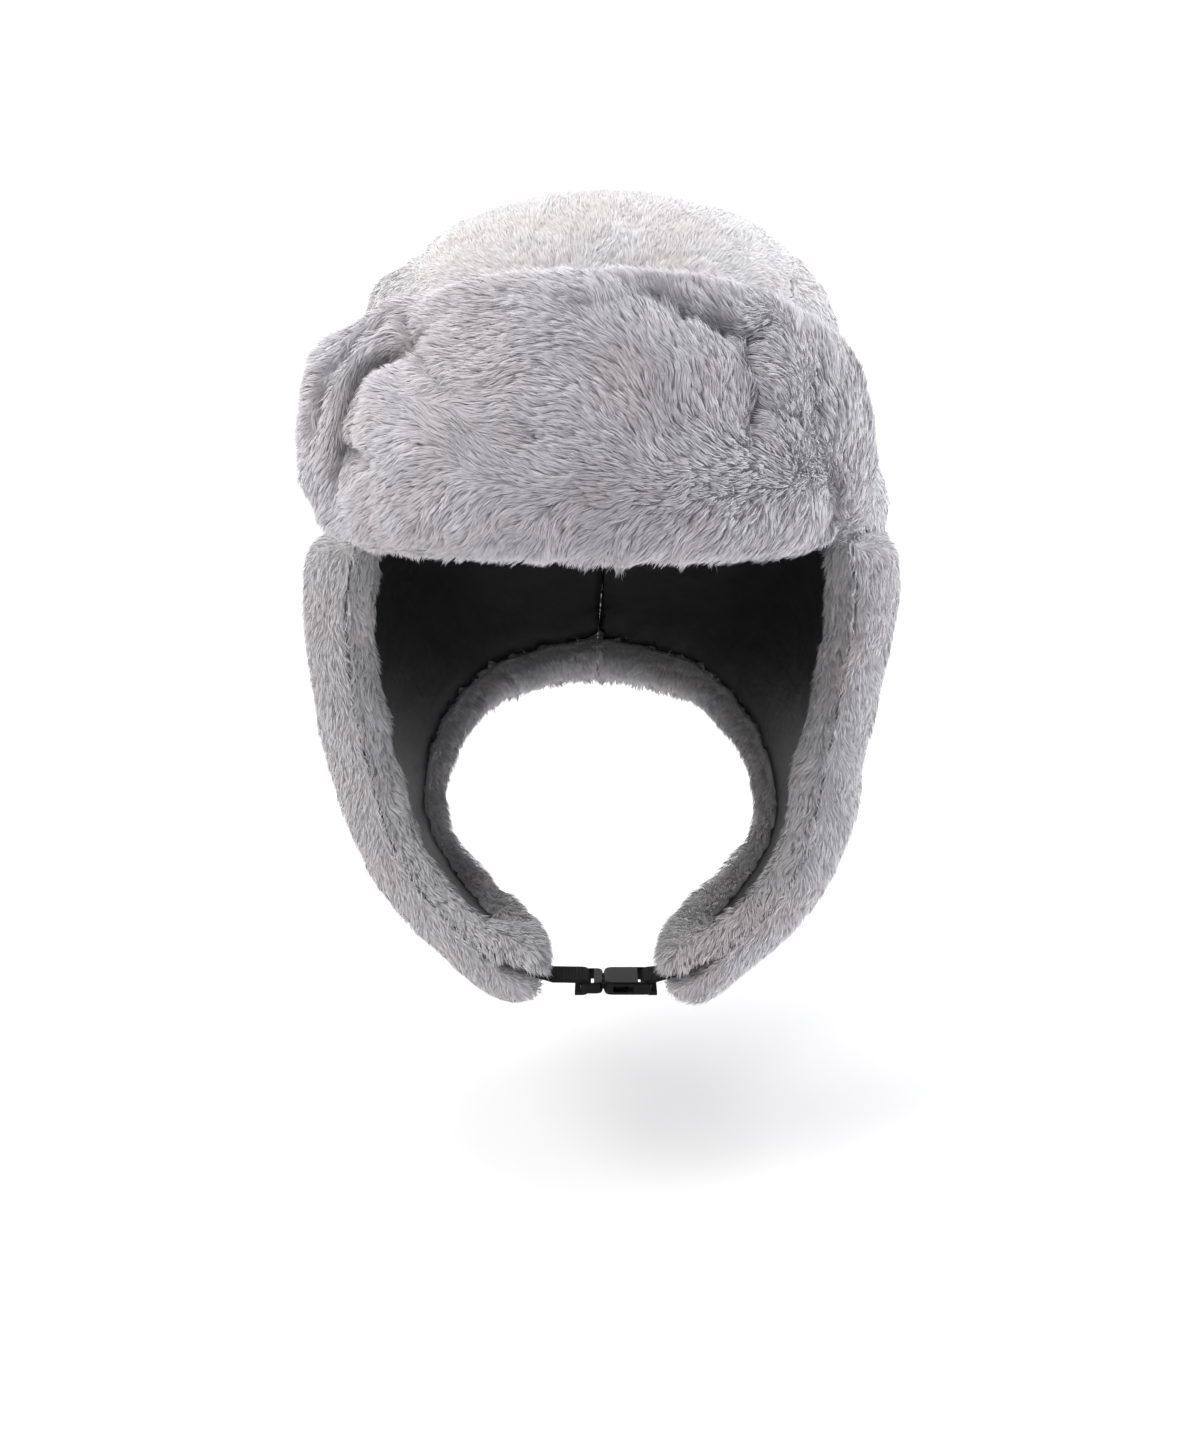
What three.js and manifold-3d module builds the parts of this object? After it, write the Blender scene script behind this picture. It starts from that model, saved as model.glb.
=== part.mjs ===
// A soft aviator hat in short-pile grey fur cloth, worn with its front visor turned up and its ear flaps
// down. The two flaps run round the head from the temples to the centre back, taper under the jaw, and meet
// in a narrow chin strap with a side-release buckle. Fur cloth is modelled as thick as its pile stands.
//
// Millimetres, +Z up. The wearer faces -Y and the wearer's left is +X. The origin is the centre of the head
// opening at the height of the rim, where the crown meets the visor and the flaps.

import * as THREE from "three";
import Module from "manifold-3d";

const wasm = await Module();
wasm.setup();

// ---- Driving dimensions -------------------------------------------------------------------------

const SEAM_GAP = 0.5; // clearance between two pieces along a seam
const LAYER_GAP = 1.1; // clearance between two layers that lie on each other
const FACING_GAP = 1; // clearance between a flap's fur facing and its lining, where both turn sharply
const HEAD = { halfWidth: 82, halfLength: 99, height: 105, planPower: 2.15, risePower: 2.6 }; // the hollow
const CROWN = { liningThick: 3, topThick: 15, rimThick: 20, pressedThick: 7, seamDip: 4, seamRadius: 9 };
const CENTRE_PANEL = { rimSpread: 0.44, topSpread: 0.65 }; // sideways reach of its seams, per unit of radius
const VISOR = {
  faceThick: 14, backThick: 11, edgeRadius: 13, clearance: 2,
  bottom: -4, top: 85, rightDrop: 19, leftDrop: 24, endLift: 5.5, flareFrom: 0.68,
};
const FLAP = { outerThick: 14, rimThick: 13, facingThick: 13, liningThick: 6, edgeRadius: 13 };
const EDGE_THICK = 0.9; // what is left of a fur layer where it is sewn to its neighbour
const LOCK = { width: 9, length: 15, height: 1.1 }; // tufts that the pile stands in
const STRAP = { width: 13, thick: 1.4, y: -45, tail: 12, slot: 1.5 };

// The buckle lies flat across the strap: low is the X of its end at the wearer's right, shoulder the length
// of the prongs' part outside the socket, and barRoom what is cleared beyond a bar for the strap to turn in.
const BUCKLE = { length: 27, width: 17, thick: 5, low: -9, shoulder: 9, bar: 2, slotLength: 3.2, barRoom: 3 };
const SOCKET = {
  round: 3, bevel: 0.9, wall: 1.1, sideWall: 2, backWall: 5.5, windowFrom: 3.5, windowEnd: 7, windowHigh: 2.4,
};
const PRONGS = { inset: 0.6, round: 2.2, bevel: 0.8, play: 0.4, root: 1.5, reach: 9, middleHalf: 1.3 };

// Outline of an outer prong: along is measured from the joint, and edge inwards from the buckle's side.
const ARM_OUTLINE = [
  { along: -1.5, edge: 5.6 },
  { along: 8, edge: 4.6 },
  { along: 9.6, edge: 3.4 },
  { along: 7.8, edge: 2.6 },
  { along: 4.6, edge: 2.4 },
  { along: 4, edge: 3 },
  { along: -1.5, edge: 3 },
];

// Plan of the turned-up visor's middle surface at rising heights. The ends are angles from straight ahead,
// and a flare is how far that end stands off outwards. "right" is the wearer's right, on -X.
const VISOR_SECTIONS = [
  { z: -4, reach: 112, rightHalf: 96, rightEnd: 62, rightFlare: 2,
    leftHalf: 91, leftEnd: 60, leftFlare: 0 },
  { z: 16, reach: 118, rightHalf: 100, rightEnd: 66, rightFlare: 7,
    leftHalf: 93, leftEnd: 62, leftFlare: 1 },
  { z: 38, reach: 117, rightHalf: 100, rightEnd: 67, rightFlare: 11,
    leftHalf: 92, leftEnd: 62, leftFlare: 2 },
  { z: 62, reach: 110, rightHalf: 96, rightEnd: 64, rightFlare: 10,
    leftHalf: 86, leftEnd: 60, leftFlare: 1 },
  { z: 86, reach: 97, rightHalf: 86, rightEnd: 57, rightFlare: 8,
    leftHalf: 80, leftEnd: 55, leftFlare: 0 },
];

// Soft folds in the visor's face: where each lies (angle from straight ahead and height), its half length and
// half width, its lean from the horizontal, and how far it rises (or sinks, if negative).
const VISOR_FOLDS = [
  { name: "crease under the rolled right end", angle: -39, z: 57, along: 17, across: 5, lean: 48, rise: -8 },
  { name: "crease beside the rolled right end", angle: -45, z: 28, along: 20, across: 5, lean: 88, rise: -6 },
  { name: "roll of the right end", angle: -49, z: 52, along: 24, across: 6, lean: 60, rise: 2 },
  { name: "pinch low in that crease", angle: -40, z: 29, along: 9, across: 5, lean: -30, rise: -4 },
  { name: "dent under the right corner", angle: -29, z: 63, along: 9, across: 5, lean: -35, rise: -6 },
  { name: "slanting ridge", angle: -20, z: 46, along: 27, across: 7, lean: -27, rise: 3.5 },
  { name: "hollow above the ridge", angle: -13, z: 57, along: 25, across: 8, lean: -25, rise: -3 },
  { name: "swell of the lower right", angle: -28, z: 24, along: 26, across: 11, lean: 0, rise: 2.5 },
  { name: "slanting crease at the left", angle: 12.5, z: 70, along: 15, across: 5, lean: -27, rise: -6 },
  { name: "first upright crease", angle: 19.5, z: 49, along: 17, across: 5, lean: 88, rise: -5 },
  { name: "swell between the upright creases", angle: 27, z: 45, along: 16, across: 7, lean: 85, rise: 2.5 },
  { name: "second upright crease", angle: 35, z: 40, along: 26, across: 5.5, lean: -83, rise: -5 },
  { name: "roll of the left end", angle: 46, z: 40, along: 28, across: 8, lean: 88, rise: 2 },
  { name: "swell over the brow", angle: 4, z: 22, along: 34, across: 12, lean: 0, rise: 2 },
];

// Bulges and dips of the crown, each at a direction from the origin (x, y, z), with its radius in degrees.
const CROWN_FOLDS = [
  { name: "peak along the middle", x: 0, y: -0.15, z: 1, radius: 9, rise: 1.2 },
  { name: "puff below the left seam", x: 0.58, y: -0.1, z: 0.82, radius: 12, rise: 5.5 },
  { name: "roll above the left flap", x: 1, y: -0.12, z: 0.12, radius: 9, rise: 10 },
  { name: "crease above that roll", x: 1, y: -0.2, z: 0.32, radius: 5, rise: -2 },
  { name: "puff below the right seam", x: -0.66, y: -0.05, z: 0.77, radius: 12, rise: 8 },
  { name: "dip at the right of the top", x: -0.3, y: 0.25, z: 0.95, radius: 15, rise: -2 },
];

// Plan of a flap's middle surface, from the rim down to the tip under the jaw. At the tip it is almost level.
// sway is how far both flaps hang over to the wearer's left (or right, if negative) at that depth.
const FLAP_SECTIONS = [
  { depth: 0.5, halfWidth: 96, halfLength: 109, sway: 0 },
  { depth: 18, halfWidth: 99, halfLength: 113, sway: -1 },
  { depth: 40, halfWidth: 98, halfLength: 113, sway: -2 },
  { depth: 62, halfWidth: 95, halfLength: 110, sway: -3 },
  { depth: 82, halfWidth: 91.5, halfLength: 107, sway: -3 },
  { depth: 102, halfWidth: 87.5, halfLength: 105, sway: -2 },
  { depth: 119, halfWidth: 83.5, halfLength: 104, sway: -1 },
  { depth: 135, halfWidth: 74, halfLength: 104, sway: 0 },
  { depth: 150, halfWidth: 57, halfLength: 104, sway: 0 },
  { depth: 160, halfWidth: 40, halfLength: 104, sway: 0 },
  { depth: 166, halfWidth: 21, halfLength: 104, sway: 0 },
];

// A flap's free edge, from the rim down the front, round the tip, and back along the lower edge to the centre
// back. angle is measured from the side, with the back at 90, and drop is the share of the way to the tip.
// innerAngle and innerDrop are where the fur facing inside that edge meets the lining.
const FLAP_EDGE = [
  { angle: -28, drop: 0, innerAngle: -15, innerDrop: 0 },
  { angle: -23, drop: 0.2, innerAngle: -11, innerDrop: 0.19 },
  { angle: -21, drop: 0.42, innerAngle: -9, innerDrop: 0.38 },
  { angle: -25, drop: 0.64, innerAngle: -13, innerDrop: 0.58 },
  { angle: -32, drop: 0.82, innerAngle: -20, innerDrop: 0.74 },
  { angle: -37, drop: 0.93, innerAngle: -22, innerDrop: 0.83 },
  { angle: -31, drop: 0.99, innerAngle: -18, innerDrop: 0.87 },
  { angle: -19, drop: 1, innerAngle: -12, innerDrop: 0.86 },
  { angle: -6, drop: 0.96, innerAngle: -4, innerDrop: 0.81 },
  { angle: 6, drop: 0.84, innerAngle: 4, innerDrop: 0.73 },
  { angle: 18, drop: 0.71, innerAngle: 15, innerDrop: 0.62 },
  { angle: 35, drop: 0.57, innerAngle: 33, innerDrop: 0.48 },
  { angle: 60, drop: 0.45, innerAngle: 60, innerDrop: 0.35 },
  { angle: 90, drop: 0.4, innerAngle: 90, innerDrop: 0.3 },
];
const TIP_SHARE = 0.5; // where along that edge the front turns into the lower edge

// ---- Colours ------------------------------------------------------------------------------------

const furCloth = (colour) => new THREE.MeshStandardMaterial({ color: colour, roughness: 0.95, metalness: 0 });
const CROWN_FUR = furCloth(0xbdbabd);
const VISOR_FUR = furCloth(0x9a989e);
const FLAP_FUR = furCloth(0xaaa8ad);
const FACING_FUR = furCloth(0x8f8c91);
const BLACK_LINING = new THREE.MeshStandardMaterial({ color: 0x141416, roughness: 0.7, metalness: 0 });
const WEBBING = new THREE.MeshStandardMaterial({ color: 0x18181a, roughness: 0.8, metalness: 0 });
const BUCKLE_PLASTIC = new THREE.MeshStandardMaterial({ color: 0x101012, roughness: 0.4, metalness: 0 });

// ---- Small helpers ------------------------------------------------------------------------------

const radians = THREE.MathUtils.degToRad;
const degrees = THREE.MathUtils.radToDeg;
const mix = THREE.MathUtils.lerp;
const step = THREE.MathUtils.smoothstep;
const signedPower = (value, power) => Math.sign(value) * Math.abs(value) ** power;
const vec = (x, y, z) => new THREE.Vector3(x, y, z);

// The value of a column of a table at x, where the rows are sorted by their key column and joined smoothly.
function tableValue(rows, key, column, x) {
  const last = rows.length - 1;
  let i = 0;
  while (i < last - 1 && x > rows[i + 1][key]) i += 1;
  const t = THREE.MathUtils.clamp((x - rows[i][key]) / (rows[i + 1][key] - rows[i][key]), 0, 1);
  const before = rows[Math.max(i - 1, 0)][column];
  const after = rows[Math.min(i + 2, last)][column];
  const [a, b] = [rows[i][column], rows[i + 1][column]];
  const [slopeA, slopeB] = [(b - before) / 2, (after - a) / 2];
  return (2 * t ** 3 - 3 * t ** 2 + 1) * a + (t ** 3 - 2 * t ** 2 + t) * slopeA
    + (3 * t ** 2 - 2 * t ** 3) * b + (t ** 3 - t ** 2) * slopeB;
}

// A quarter round: 0 at an edge, 1 from one radius inwards.
function roundedEdge(distance, radius) {
  const left = 1 - THREE.MathUtils.clamp(distance / radius, 0, 1);
  return Math.sqrt(1 - left * left);
}

// Staggered tufts, longer than wide, on a surface measured in millimetres across and along the pile's lie.
function lockRelief(across, along) {
  const row = Math.floor(along / LOCK.length);
  const shift = (row % 2) * LOCK.width / 2;
  const ridge = Math.cos((2 * Math.PI * (across + shift)) / LOCK.width);
  const tip = along / LOCK.length - row;
  return LOCK.height * ridge * (0.35 + 0.65 * tip);
}

// How far a table of folds lifts a point of a flat layout.
function foldRelief(folds, across, up, acrossOf) {
  return folds.reduce((sum, fold) => {
    const [dx, dz] = [across - acrossOf(fold), up - fold.z];
    const lean = radians(fold.lean);
    const along = (dx * Math.cos(lean) + dz * Math.sin(lean)) / fold.along;
    const aside = (dz * Math.cos(lean) - dx * Math.sin(lean)) / fold.across;
    return sum + fold.rise * Math.exp(-along * along - aside * aside);
  }, 0);
}

// The unit normal of a surface given as a function of two parameters that run from 0 to 1.
function normalOf(surface, u, v) {
  const tiny = 1e-3;
  const [cu, cv] = [u, v].map((value) => THREE.MathUtils.clamp(value, tiny, 1 - tiny));
  const alongU = surface(cu + tiny, cv).sub(surface(cu - tiny, cv));
  const alongV = surface(cu, cv + tiny).sub(surface(cu, cv - tiny));
  return alongU.cross(alongV).normalize();
}

// Distance from a point to the nearest point of a polyline.
function distanceTo(polyline, point) {
  let least = Infinity;
  const segment = new THREE.Line3();
  const nearest = vec(0, 0, 0);
  for (let i = 0; i + 1 < polyline.length; i += 1) {
    segment.set(polyline[i], polyline[i + 1]).closestPointToPoint(point, true, nearest);
    least = Math.min(least, nearest.distanceTo(point));
  }
  return least;
}

// A closed shell over a grid: front(u, v) and back(u, v) are its two faces, u and v run from 0 to 1, and
// walls join their borders. wrap closes the grid on itself in u. Grid points that coincide are merged, so a
// side of the grid may shrink to a point.
function shell(columns, rows, front, back, wrap = false) {
  const positions = [];
  const known = new Map();
  const index = [];
  const add = (p) => {
    const key = [p.x, p.y, p.z].map((c) => Math.round(c * 1e3)).join();
    if (!known.has(key)) {
      known.set(key, positions.length / 3);
      positions.push(p.x, p.y, p.z);
    }
    return known.get(key);
  };
  const triangle = (a, b, c) => {
    if (a !== b && b !== c && c !== a) index.push(a, b, c);
  };
  const grid = (face) => Array.from({ length: columns + 1 }, (_, i) =>
    Array.from({ length: rows + 1 }, (_, j) => add(face(wrap && i === columns ? 0 : i / columns, j / rows))));
  const quad = (a, b, c, d) => {
    triangle(a, b, c);
    triangle(a, c, d);
  };
  const [f, b] = [grid(front), grid(back)];
  for (let i = 0; i < columns; i += 1) {
    for (let j = 0; j < rows; j += 1) {
      quad(f[i][j], f[i + 1][j], f[i + 1][j + 1], f[i][j + 1]);
      quad(b[i][j], b[i][j + 1], b[i + 1][j + 1], b[i + 1][j]);
    }
    quad(b[i][0], b[i + 1][0], f[i + 1][0], f[i][0]);
    quad(f[i][rows], f[i + 1][rows], b[i + 1][rows], b[i][rows]);
  }
  for (let j = 0; !wrap && j < rows; j += 1) {
    quad(f[0][j], f[0][j + 1], b[0][j + 1], b[0][j]);
    quad(b[columns][j], b[columns][j + 1], f[columns][j + 1], f[columns][j]);
  }
  return facingOut(positions, index);
}

// A geometry from its points and triangles, which are turned over if they all face inwards.
function facingOut(positions, index) {
  const corner = (i) => vec(positions[3 * i], positions[3 * i + 1], positions[3 * i + 2]);
  let volume = 0;
  for (let i = 0; i < index.length; i += 3) {
    volume += corner(index[i]).dot(corner(index[i + 1]).cross(corner(index[i + 2])));
  }
  if (volume < 0) index.reverse();
  const geometry = new THREE.BufferGeometry();
  geometry.setAttribute("position", new THREE.Float32BufferAttribute(positions, 3));
  geometry.setIndex(index);
  geometry.computeVertexNormals();
  return geometry;
}

// A shell whose layers are offsets of a surface along its normal.
function layer(columns, rows, surface, outer, inner) {
  const at = (u, v, offset) => surface(u, v).addScaledVector(normalOf(surface, u, v), offset(u, v));
  return shell(columns, rows, (u, v) => at(u, v, outer), (u, v) => at(u, v, inner));
}

// The same geometry on the other side of the plane X = 0.
function mirrored(geometry) {
  const copy = geometry.clone().scale(-1, 1, 1);
  const index = copy.index.array;
  for (let i = 0; i < index.length; i += 3) [index[i + 1], index[i + 2]] = [index[i + 2], index[i + 1]];
  copy.computeVertexNormals();
  return copy;
}

// ---- Crown --------------------------------------------------------------------------------------

// The hollow is a dome whose plan and rise are both slightly squarer than an ellipse.
function headPoint(direction) {
  const { halfWidth, halfLength, height, planPower, risePower } = HEAD;
  const plan = (Math.abs(direction.x / halfWidth) ** planPower
    + Math.abs(direction.y / halfLength) ** planPower) ** (1 / planPower);
  const rise = Math.abs(direction.z / height);
  return direction.clone().divideScalar((plan ** risePower + rise ** risePower) ** (1 / risePower));
}

function headNormal(p) {
  const { halfWidth, halfLength, height, planPower, risePower } = HEAD;
  const [x, y] = [p.x / halfWidth, p.y / halfLength];
  const plan = (Math.abs(x) ** planPower + Math.abs(y) ** planPower) ** (1 / planPower);
  if (plan < 1e-6) return vec(0, 0, 1);
  const pull = plan ** (risePower - planPower);
  return vec(
    pull * signedPower(x, planPower - 1) / halfWidth,
    pull * signedPower(y, planPower - 1) / halfLength,
    signedPower(p.z / height, risePower - 1) / height,
  ).normalize();
}

// The direction of the side seam at a turn from the front rim (0) over the top to the back rim (pi).
function seamDirection(turn, side) {
  const spread = mix(CENTRE_PANEL.rimSpread, CENTRE_PANEL.topSpread, Math.sin(turn) ** 0.7);
  return vec(side * spread, -Math.cos(turn), Math.sin(turn)).normalize();
}

// Thickness of the crown from the hollow to the tips of its pile. The pile is pressed flat behind the visor.
function crownThick(direction) {
  const p = headPoint(direction);
  const front = degrees(Math.atan2(Math.abs(p.x), -p.y));
  const pressed = (1 - step(p.z, 56, 76)) * (1 - step(front, 60, 84));
  const loose = mix(CROWN.topThick, CROWN.rimThick, 1 - step(p.z, 10, 80));
  const relief = CROWN_FOLDS.reduce((sum, fold) => {
    const apart = degrees(direction.angleTo(vec(fold.x, fold.y, fold.z))) / fold.radius;
    return sum + fold.rise * Math.exp(-apart * apart);
  }, 0);
  return mix(loose + relief, CROWN.pressedThick, pressed);
}

const crownOffset = (direction, offset) => {
  const p = headPoint(direction);
  return p.addScaledVector(headNormal(p), offset);
};

function crownPanel(columns, rows, directionAt) {
  const border = [];
  for (let i = 0; i <= 60; i += 1) border.push(headPoint(seamDirection((Math.PI * i) / 60, 1)));
  const outer = (u, v) => {
    const direction = directionAt(u, v);
    const p = headPoint(direction);
    const nearSeam = distanceTo(border, vec(Math.abs(p.x), p.y, p.z));
    const dip = CROWN.seamDip * (1 - roundedEdge(nearSeam, CROWN.seamRadius));
    const tufts = 0.45 * lockRelief(p.x, p.y + p.z) * roundedEdge(nearSeam, CROWN.seamRadius);
    return crownOffset(direction, crownThick(direction) - dip + tufts);
  };
  return shell(columns, rows, outer, (u, v) => crownOffset(directionAt(u, v), CROWN.liningThick + LAYER_GAP));
}

const SEAM_HALF_TURN = SEAM_GAP / 2 / HEAD.height; // half the seam gap, as an angle seen from the origin
const SEAM_STEPS = 24; // from the front rim over the top to the back

function centrePanelGeometry() {
  return crownPanel(10, SEAM_STEPS, (u, v) => {
    const turn = Math.PI * v;
    const edge = seamDirection(turn, 1);
    const across = mix(-1, 1, u) * (edge.x - SEAM_HALF_TURN);
    return vec(across, edge.y, edge.z).normalize();
  });
}

function sidePanelGeometry(side) {
  const front = seamDirection(0, 1);
  const back = seamDirection(Math.PI, 1);
  const [from, to] = [Math.atan2(front.y, front.x), Math.atan2(back.y, back.x)];
  return crownPanel(SEAM_STEPS, 8, (u, v) => {
    const seam = seamDirection(Math.PI * u, side);
    seam.x += side * SEAM_HALF_TURN;
    const turn = mix(from, to, u);
    const rim = vec(side * Math.cos(turn), Math.sin(turn), 0);
    return seam.normalize().lerp(rim, v).normalize();
  });
}

function crownLiningGeometry() {
  const direction = (u, v) => {
    const [turn, rise] = [2 * Math.PI * u, (Math.PI / 2) * v];
    return vec(Math.cos(turn) * Math.cos(rise), Math.sin(turn) * Math.cos(rise), Math.sin(rise));
  };
  return shell(28, 8, (u, v) => crownOffset(direction(u, v), CROWN.liningThick),
    (u, v) => crownOffset(direction(u, v), 0), true);
}

// ---- Visor --------------------------------------------------------------------------------------

// The visor's middle surface, where its face is sewn to its back. u runs from the wearer's right to left.
function visorMiddle(u, v) {
  const across = mix(-1, 1, u);
  const side = across < 0 ? "right" : "left";
  const top = VISOR.top - VISOR[side + "Drop"] * Math.abs(across) ** 3;
  const z = mix(VISOR.bottom + VISOR.endLift * across ** 8, top, v);
  const at = (column) => tableValue(VISOR_SECTIONS, "z", column, z);
  const angle = radians(across * at(side + "End"));
  const nearEnd = Math.max(0, (Math.abs(across) - VISOR.flareFrom) / (1 - VISOR.flareFrom));
  const standOff = at(side + "Flare") * nearEnd ** 2;
  const [half, reach] = [at(side + "Half") + standOff, at("reach") + standOff];
  return vec(half * Math.sin(angle), -reach * Math.cos(angle), z);
}

function visorEdge() {
  const edge = [];
  const steps = 24;
  for (let i = 0; i <= steps; i += 1) edge.push(visorMiddle(0, i / steps));
  for (let i = 1; i <= 2 * steps; i += 1) edge.push(visorMiddle(i / steps / 2, 1));
  for (let i = 1; i <= steps; i += 1) edge.push(visorMiddle(1, 1 - i / steps));
  for (let i = 1; i <= 2 * steps; i += 1) edge.push(visorMiddle(1 - i / steps / 2, 0));
  return edge;
}

const VISOR_EDGE = visorEdge();
const VISOR_RADIUS = 112; // turns an angle across the visor into a distance

function visorFaceGeometry() {
  const thick = (u, v) => {
    const p = visorMiddle(u, v);
    const round = roundedEdge(distanceTo(VISOR_EDGE, p), VISOR.edgeRadius);
    const across = VISOR_RADIUS * Math.atan2(p.x, -p.y);
    const folds = foldRelief(VISOR_FOLDS, across, p.z, (fold) => VISOR_RADIUS * radians(fold.angle));
    return EDGE_THICK + round * Math.max(VISOR.faceThick - EDGE_THICK + folds + lockRelief(across, p.z), 2);
  };
  return layer(36, 12, visorMiddle, thick, () => SEAM_GAP / 2);
}

// The crown's surface on the line from the origin through a point, pile and all.
function crownRadius(point) {
  const wanted = point.clone().normalize();
  const direction = wanted.clone();
  let surface = point;
  for (let i = 0; i < 8; i += 1) {
    surface = crownOffset(direction, crownThick(direction));
    direction.sub(surface.clone().normalize().sub(wanted)).normalize();
  }
  return surface.length();
}

function visorBackGeometry() {
  const thick = (u, v) => {
    const p = visorMiddle(u, v);
    const normal = normalOf(visorMiddle, u, v);
    const round = roundedEdge(distanceTo(VISOR_EDGE, p), VISOR.edgeRadius);
    let depth = EDGE_THICK + round * (VISOR.backThick - EDGE_THICK);
    const clear = (d) => {
      const q = p.clone().addScaledVector(normal, -d);
      return q.z < 0 ? Infinity : q.length() - crownRadius(q);
    };
    while (depth > EDGE_THICK && clear(depth) < VISOR.clearance) depth -= 0.25;
    return -depth;
  };
  return layer(24, 8, visorMiddle, () => -LAYER_GAP / 2, thick);
}

// ---- Ear and neck flaps -------------------------------------------------------------------------

const flapProfile = new THREE.CatmullRomCurve3(
  FLAP_SECTIONS.map((row) => vec(row.halfWidth, row.halfLength, -row.depth)), false, "centripetal");
const FLAP_DROP = flapProfile.getLength();
const EDGE_STATIONS = 14; // steps along each half of the free edge
const MM_PER_DEGREE = 1.8; // along a flap's sections near the side, where they are nearly circles

// The middle surface of the left flap at an angle from the side (back is 90) and a share of the drop.
function flapMiddle(angle, drop) {
  const section = flapProfile.getPointAt(THREE.MathUtils.clamp(drop, 0, 1));
  const power = 2 / HEAD.planPower;
  return vec(
    section.x * signedPower(Math.cos(radians(angle)), power),
    section.y * signedPower(Math.sin(radians(angle)), power),
    section.z,
  );
}

// The two edges in flat millimetres: x round the head, y down.
const flatPoint = (angle, drop) => new THREE.Vector2(angle * MM_PER_DEGREE, drop * FLAP_DROP);
const freeEdge = new THREE.SplineCurve(FLAP_EDGE.map((row) => flatPoint(row.angle, row.drop)));
const facingEdge = new THREE.SplineCurve(FLAP_EDGE.map((row) => flatPoint(row.innerAngle, row.innerDrop)));

// Flat point of a flap's panel under one of those edges: a patch spanned by its four borders. u runs from the
// front to the centre back and v from the rim down.
function panelPoint(edge, u, v, backGap) {
  const back = 90 * MM_PER_DEGREE - backGap;
  const blend = (a, b, t) => a.clone().lerp(b, t);
  const front = edge.getPoint(TIP_SHARE * v);
  const lower = edge.getPoint(mix(TIP_SHARE, 1, u));
  const [start, tip, end] = [edge.getPoint(0), edge.getPoint(TIP_SHARE), edge.getPoint(1)];
  const top = new THREE.Vector2(mix(start.x, back, u), 0);
  const centreBack = new THREE.Vector2(back, mix(0, end.y, v));
  const corners = blend(blend(start, new THREE.Vector2(back, 0), u), blend(tip, end, u), v);
  const point = blend(front, centreBack, u).add(blend(top, lower, v)).sub(corners);
  return new THREE.Vector2(Math.min(point.x, back), Math.max(point.y, 0));
}

const onFlap = (flat) => flapMiddle(flat.x / MM_PER_DEGREE, flat.y / FLAP_DROP);

const FREE_EDGE = Array.from({ length: 81 }, (_, i) => onFlap(freeEdge.getPoint(i / 80)));

// Half the space between a flap's two layers: the seam gap, and near the tip a slot for the strap's tail.
const layerGap = (p) => mix(SEAM_GAP / 2, STRAP.slot, step(-p.z, 150, 160));

// Offsets a flap's flat layout along the surface normal, and keeps it below the rim.
function flapLayer(columns, rows, flatAt, outer, inner) {
  const small = 0.2;
  const place = (u, v, offset) => {
    const flat = flatAt(u, v);
    const p = onFlap(flat);
    const x = THREE.MathUtils.clamp(flat.x, -80 * MM_PER_DEGREE, 90 * MM_PER_DEGREE - small);
    const y = THREE.MathUtils.clamp(flat.y, small, FLAP_DROP - small);
    const at = (dx, dy) => onFlap(new THREE.Vector2(x + dx, y + dy));
    const normal = at(0, small).sub(at(0, -small)).cross(at(small, 0).sub(at(-small, 0))).normalize();
    if (flat.x > 90 * MM_PER_DEGREE - 2) normal.setX(0).normalize();
    const moved = p.clone().addScaledVector(normal, offset(p, flat, u, v));
    moved.z = Math.min(moved.z, -SEAM_GAP - 0.1);
    return moved;
  };
  return shell(columns, rows, (u, v) => place(u, v, outer), (u, v) => place(u, v, inner));
}

function flapOuterGeometry() {
  const thick = (p, flat) => {
    const edge = roundedEdge(distanceTo(FREE_EDGE, p), FLAP.edgeRadius);
    const rim = mix(FLAP.rimThick, FLAP.outerThick, step(flat.y, 0, 22));
    const backSeam = CROWN.seamDip * (1 - roundedEdge(90 * MM_PER_DEGREE - flat.x, CROWN.seamRadius));
    const tufts = 0.6 * lockRelief(flat.x, flat.y);
    return layerGap(p) + EDGE_THICK + edge * (rim - EDGE_THICK - backSeam + tufts);
  };
  const backGap = SEAM_GAP / 2;
  return flapLayer(EDGE_STATIONS, EDGE_STATIONS, (u, v) => panelPoint(freeEdge, u, v, backGap), thick,
    (p) => layerGap(p));
}

// The fur facing is a band inside the free edge. u runs from the centre back round the tip to the front rim.
function facingGeometry() {
  const width = (u) => onFlap(freeEdge.getPoint(1 - u)).distanceTo(onFlap(facingEdge.getPoint(1 - u)));
  const flatAt = (u, v) => {
    const point = freeEdge.getPoint(1 - u).lerp(facingEdge.getPoint(1 - u), v * (1 - FACING_GAP / width(u)));
    return new THREE.Vector2(Math.min(point.x, 90 * MM_PER_DEGREE - SEAM_GAP / 2), point.y);
  };
  const thick = (p, flat, u, v) => {
    const across = v * width(u);
    const edge = roundedEdge(across, FLAP.edgeRadius);
    const inner = roundedEdge(width(u) - across, 9);
    const tufts = 0.8 * lockRelief(560 * u, across);
    return -(layerGap(p) + EDGE_THICK + edge * (FLAP.facingThick - EDGE_THICK + tufts) * mix(0.5, 1, inner));
  };
  return flapLayer(2 * EDGE_STATIONS, 4, flatAt, (p) => -layerGap(p) - LAYER_GAP / 2, thick);
}

function flapLiningGeometry() {
  const thick = (p) => -(layerGap(p) + FLAP.liningThick);
  const flatAt = (u, v) => panelPoint(facingEdge, u, v, SEAM_GAP / 2);
  return flapLayer(EDGE_STATIONS, EDGE_STATIONS, flatAt, (p) => -layerGap(p) - LAYER_GAP / 2, thick);
}

// ---- Chin strap and buckle ----------------------------------------------------------------------

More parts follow.
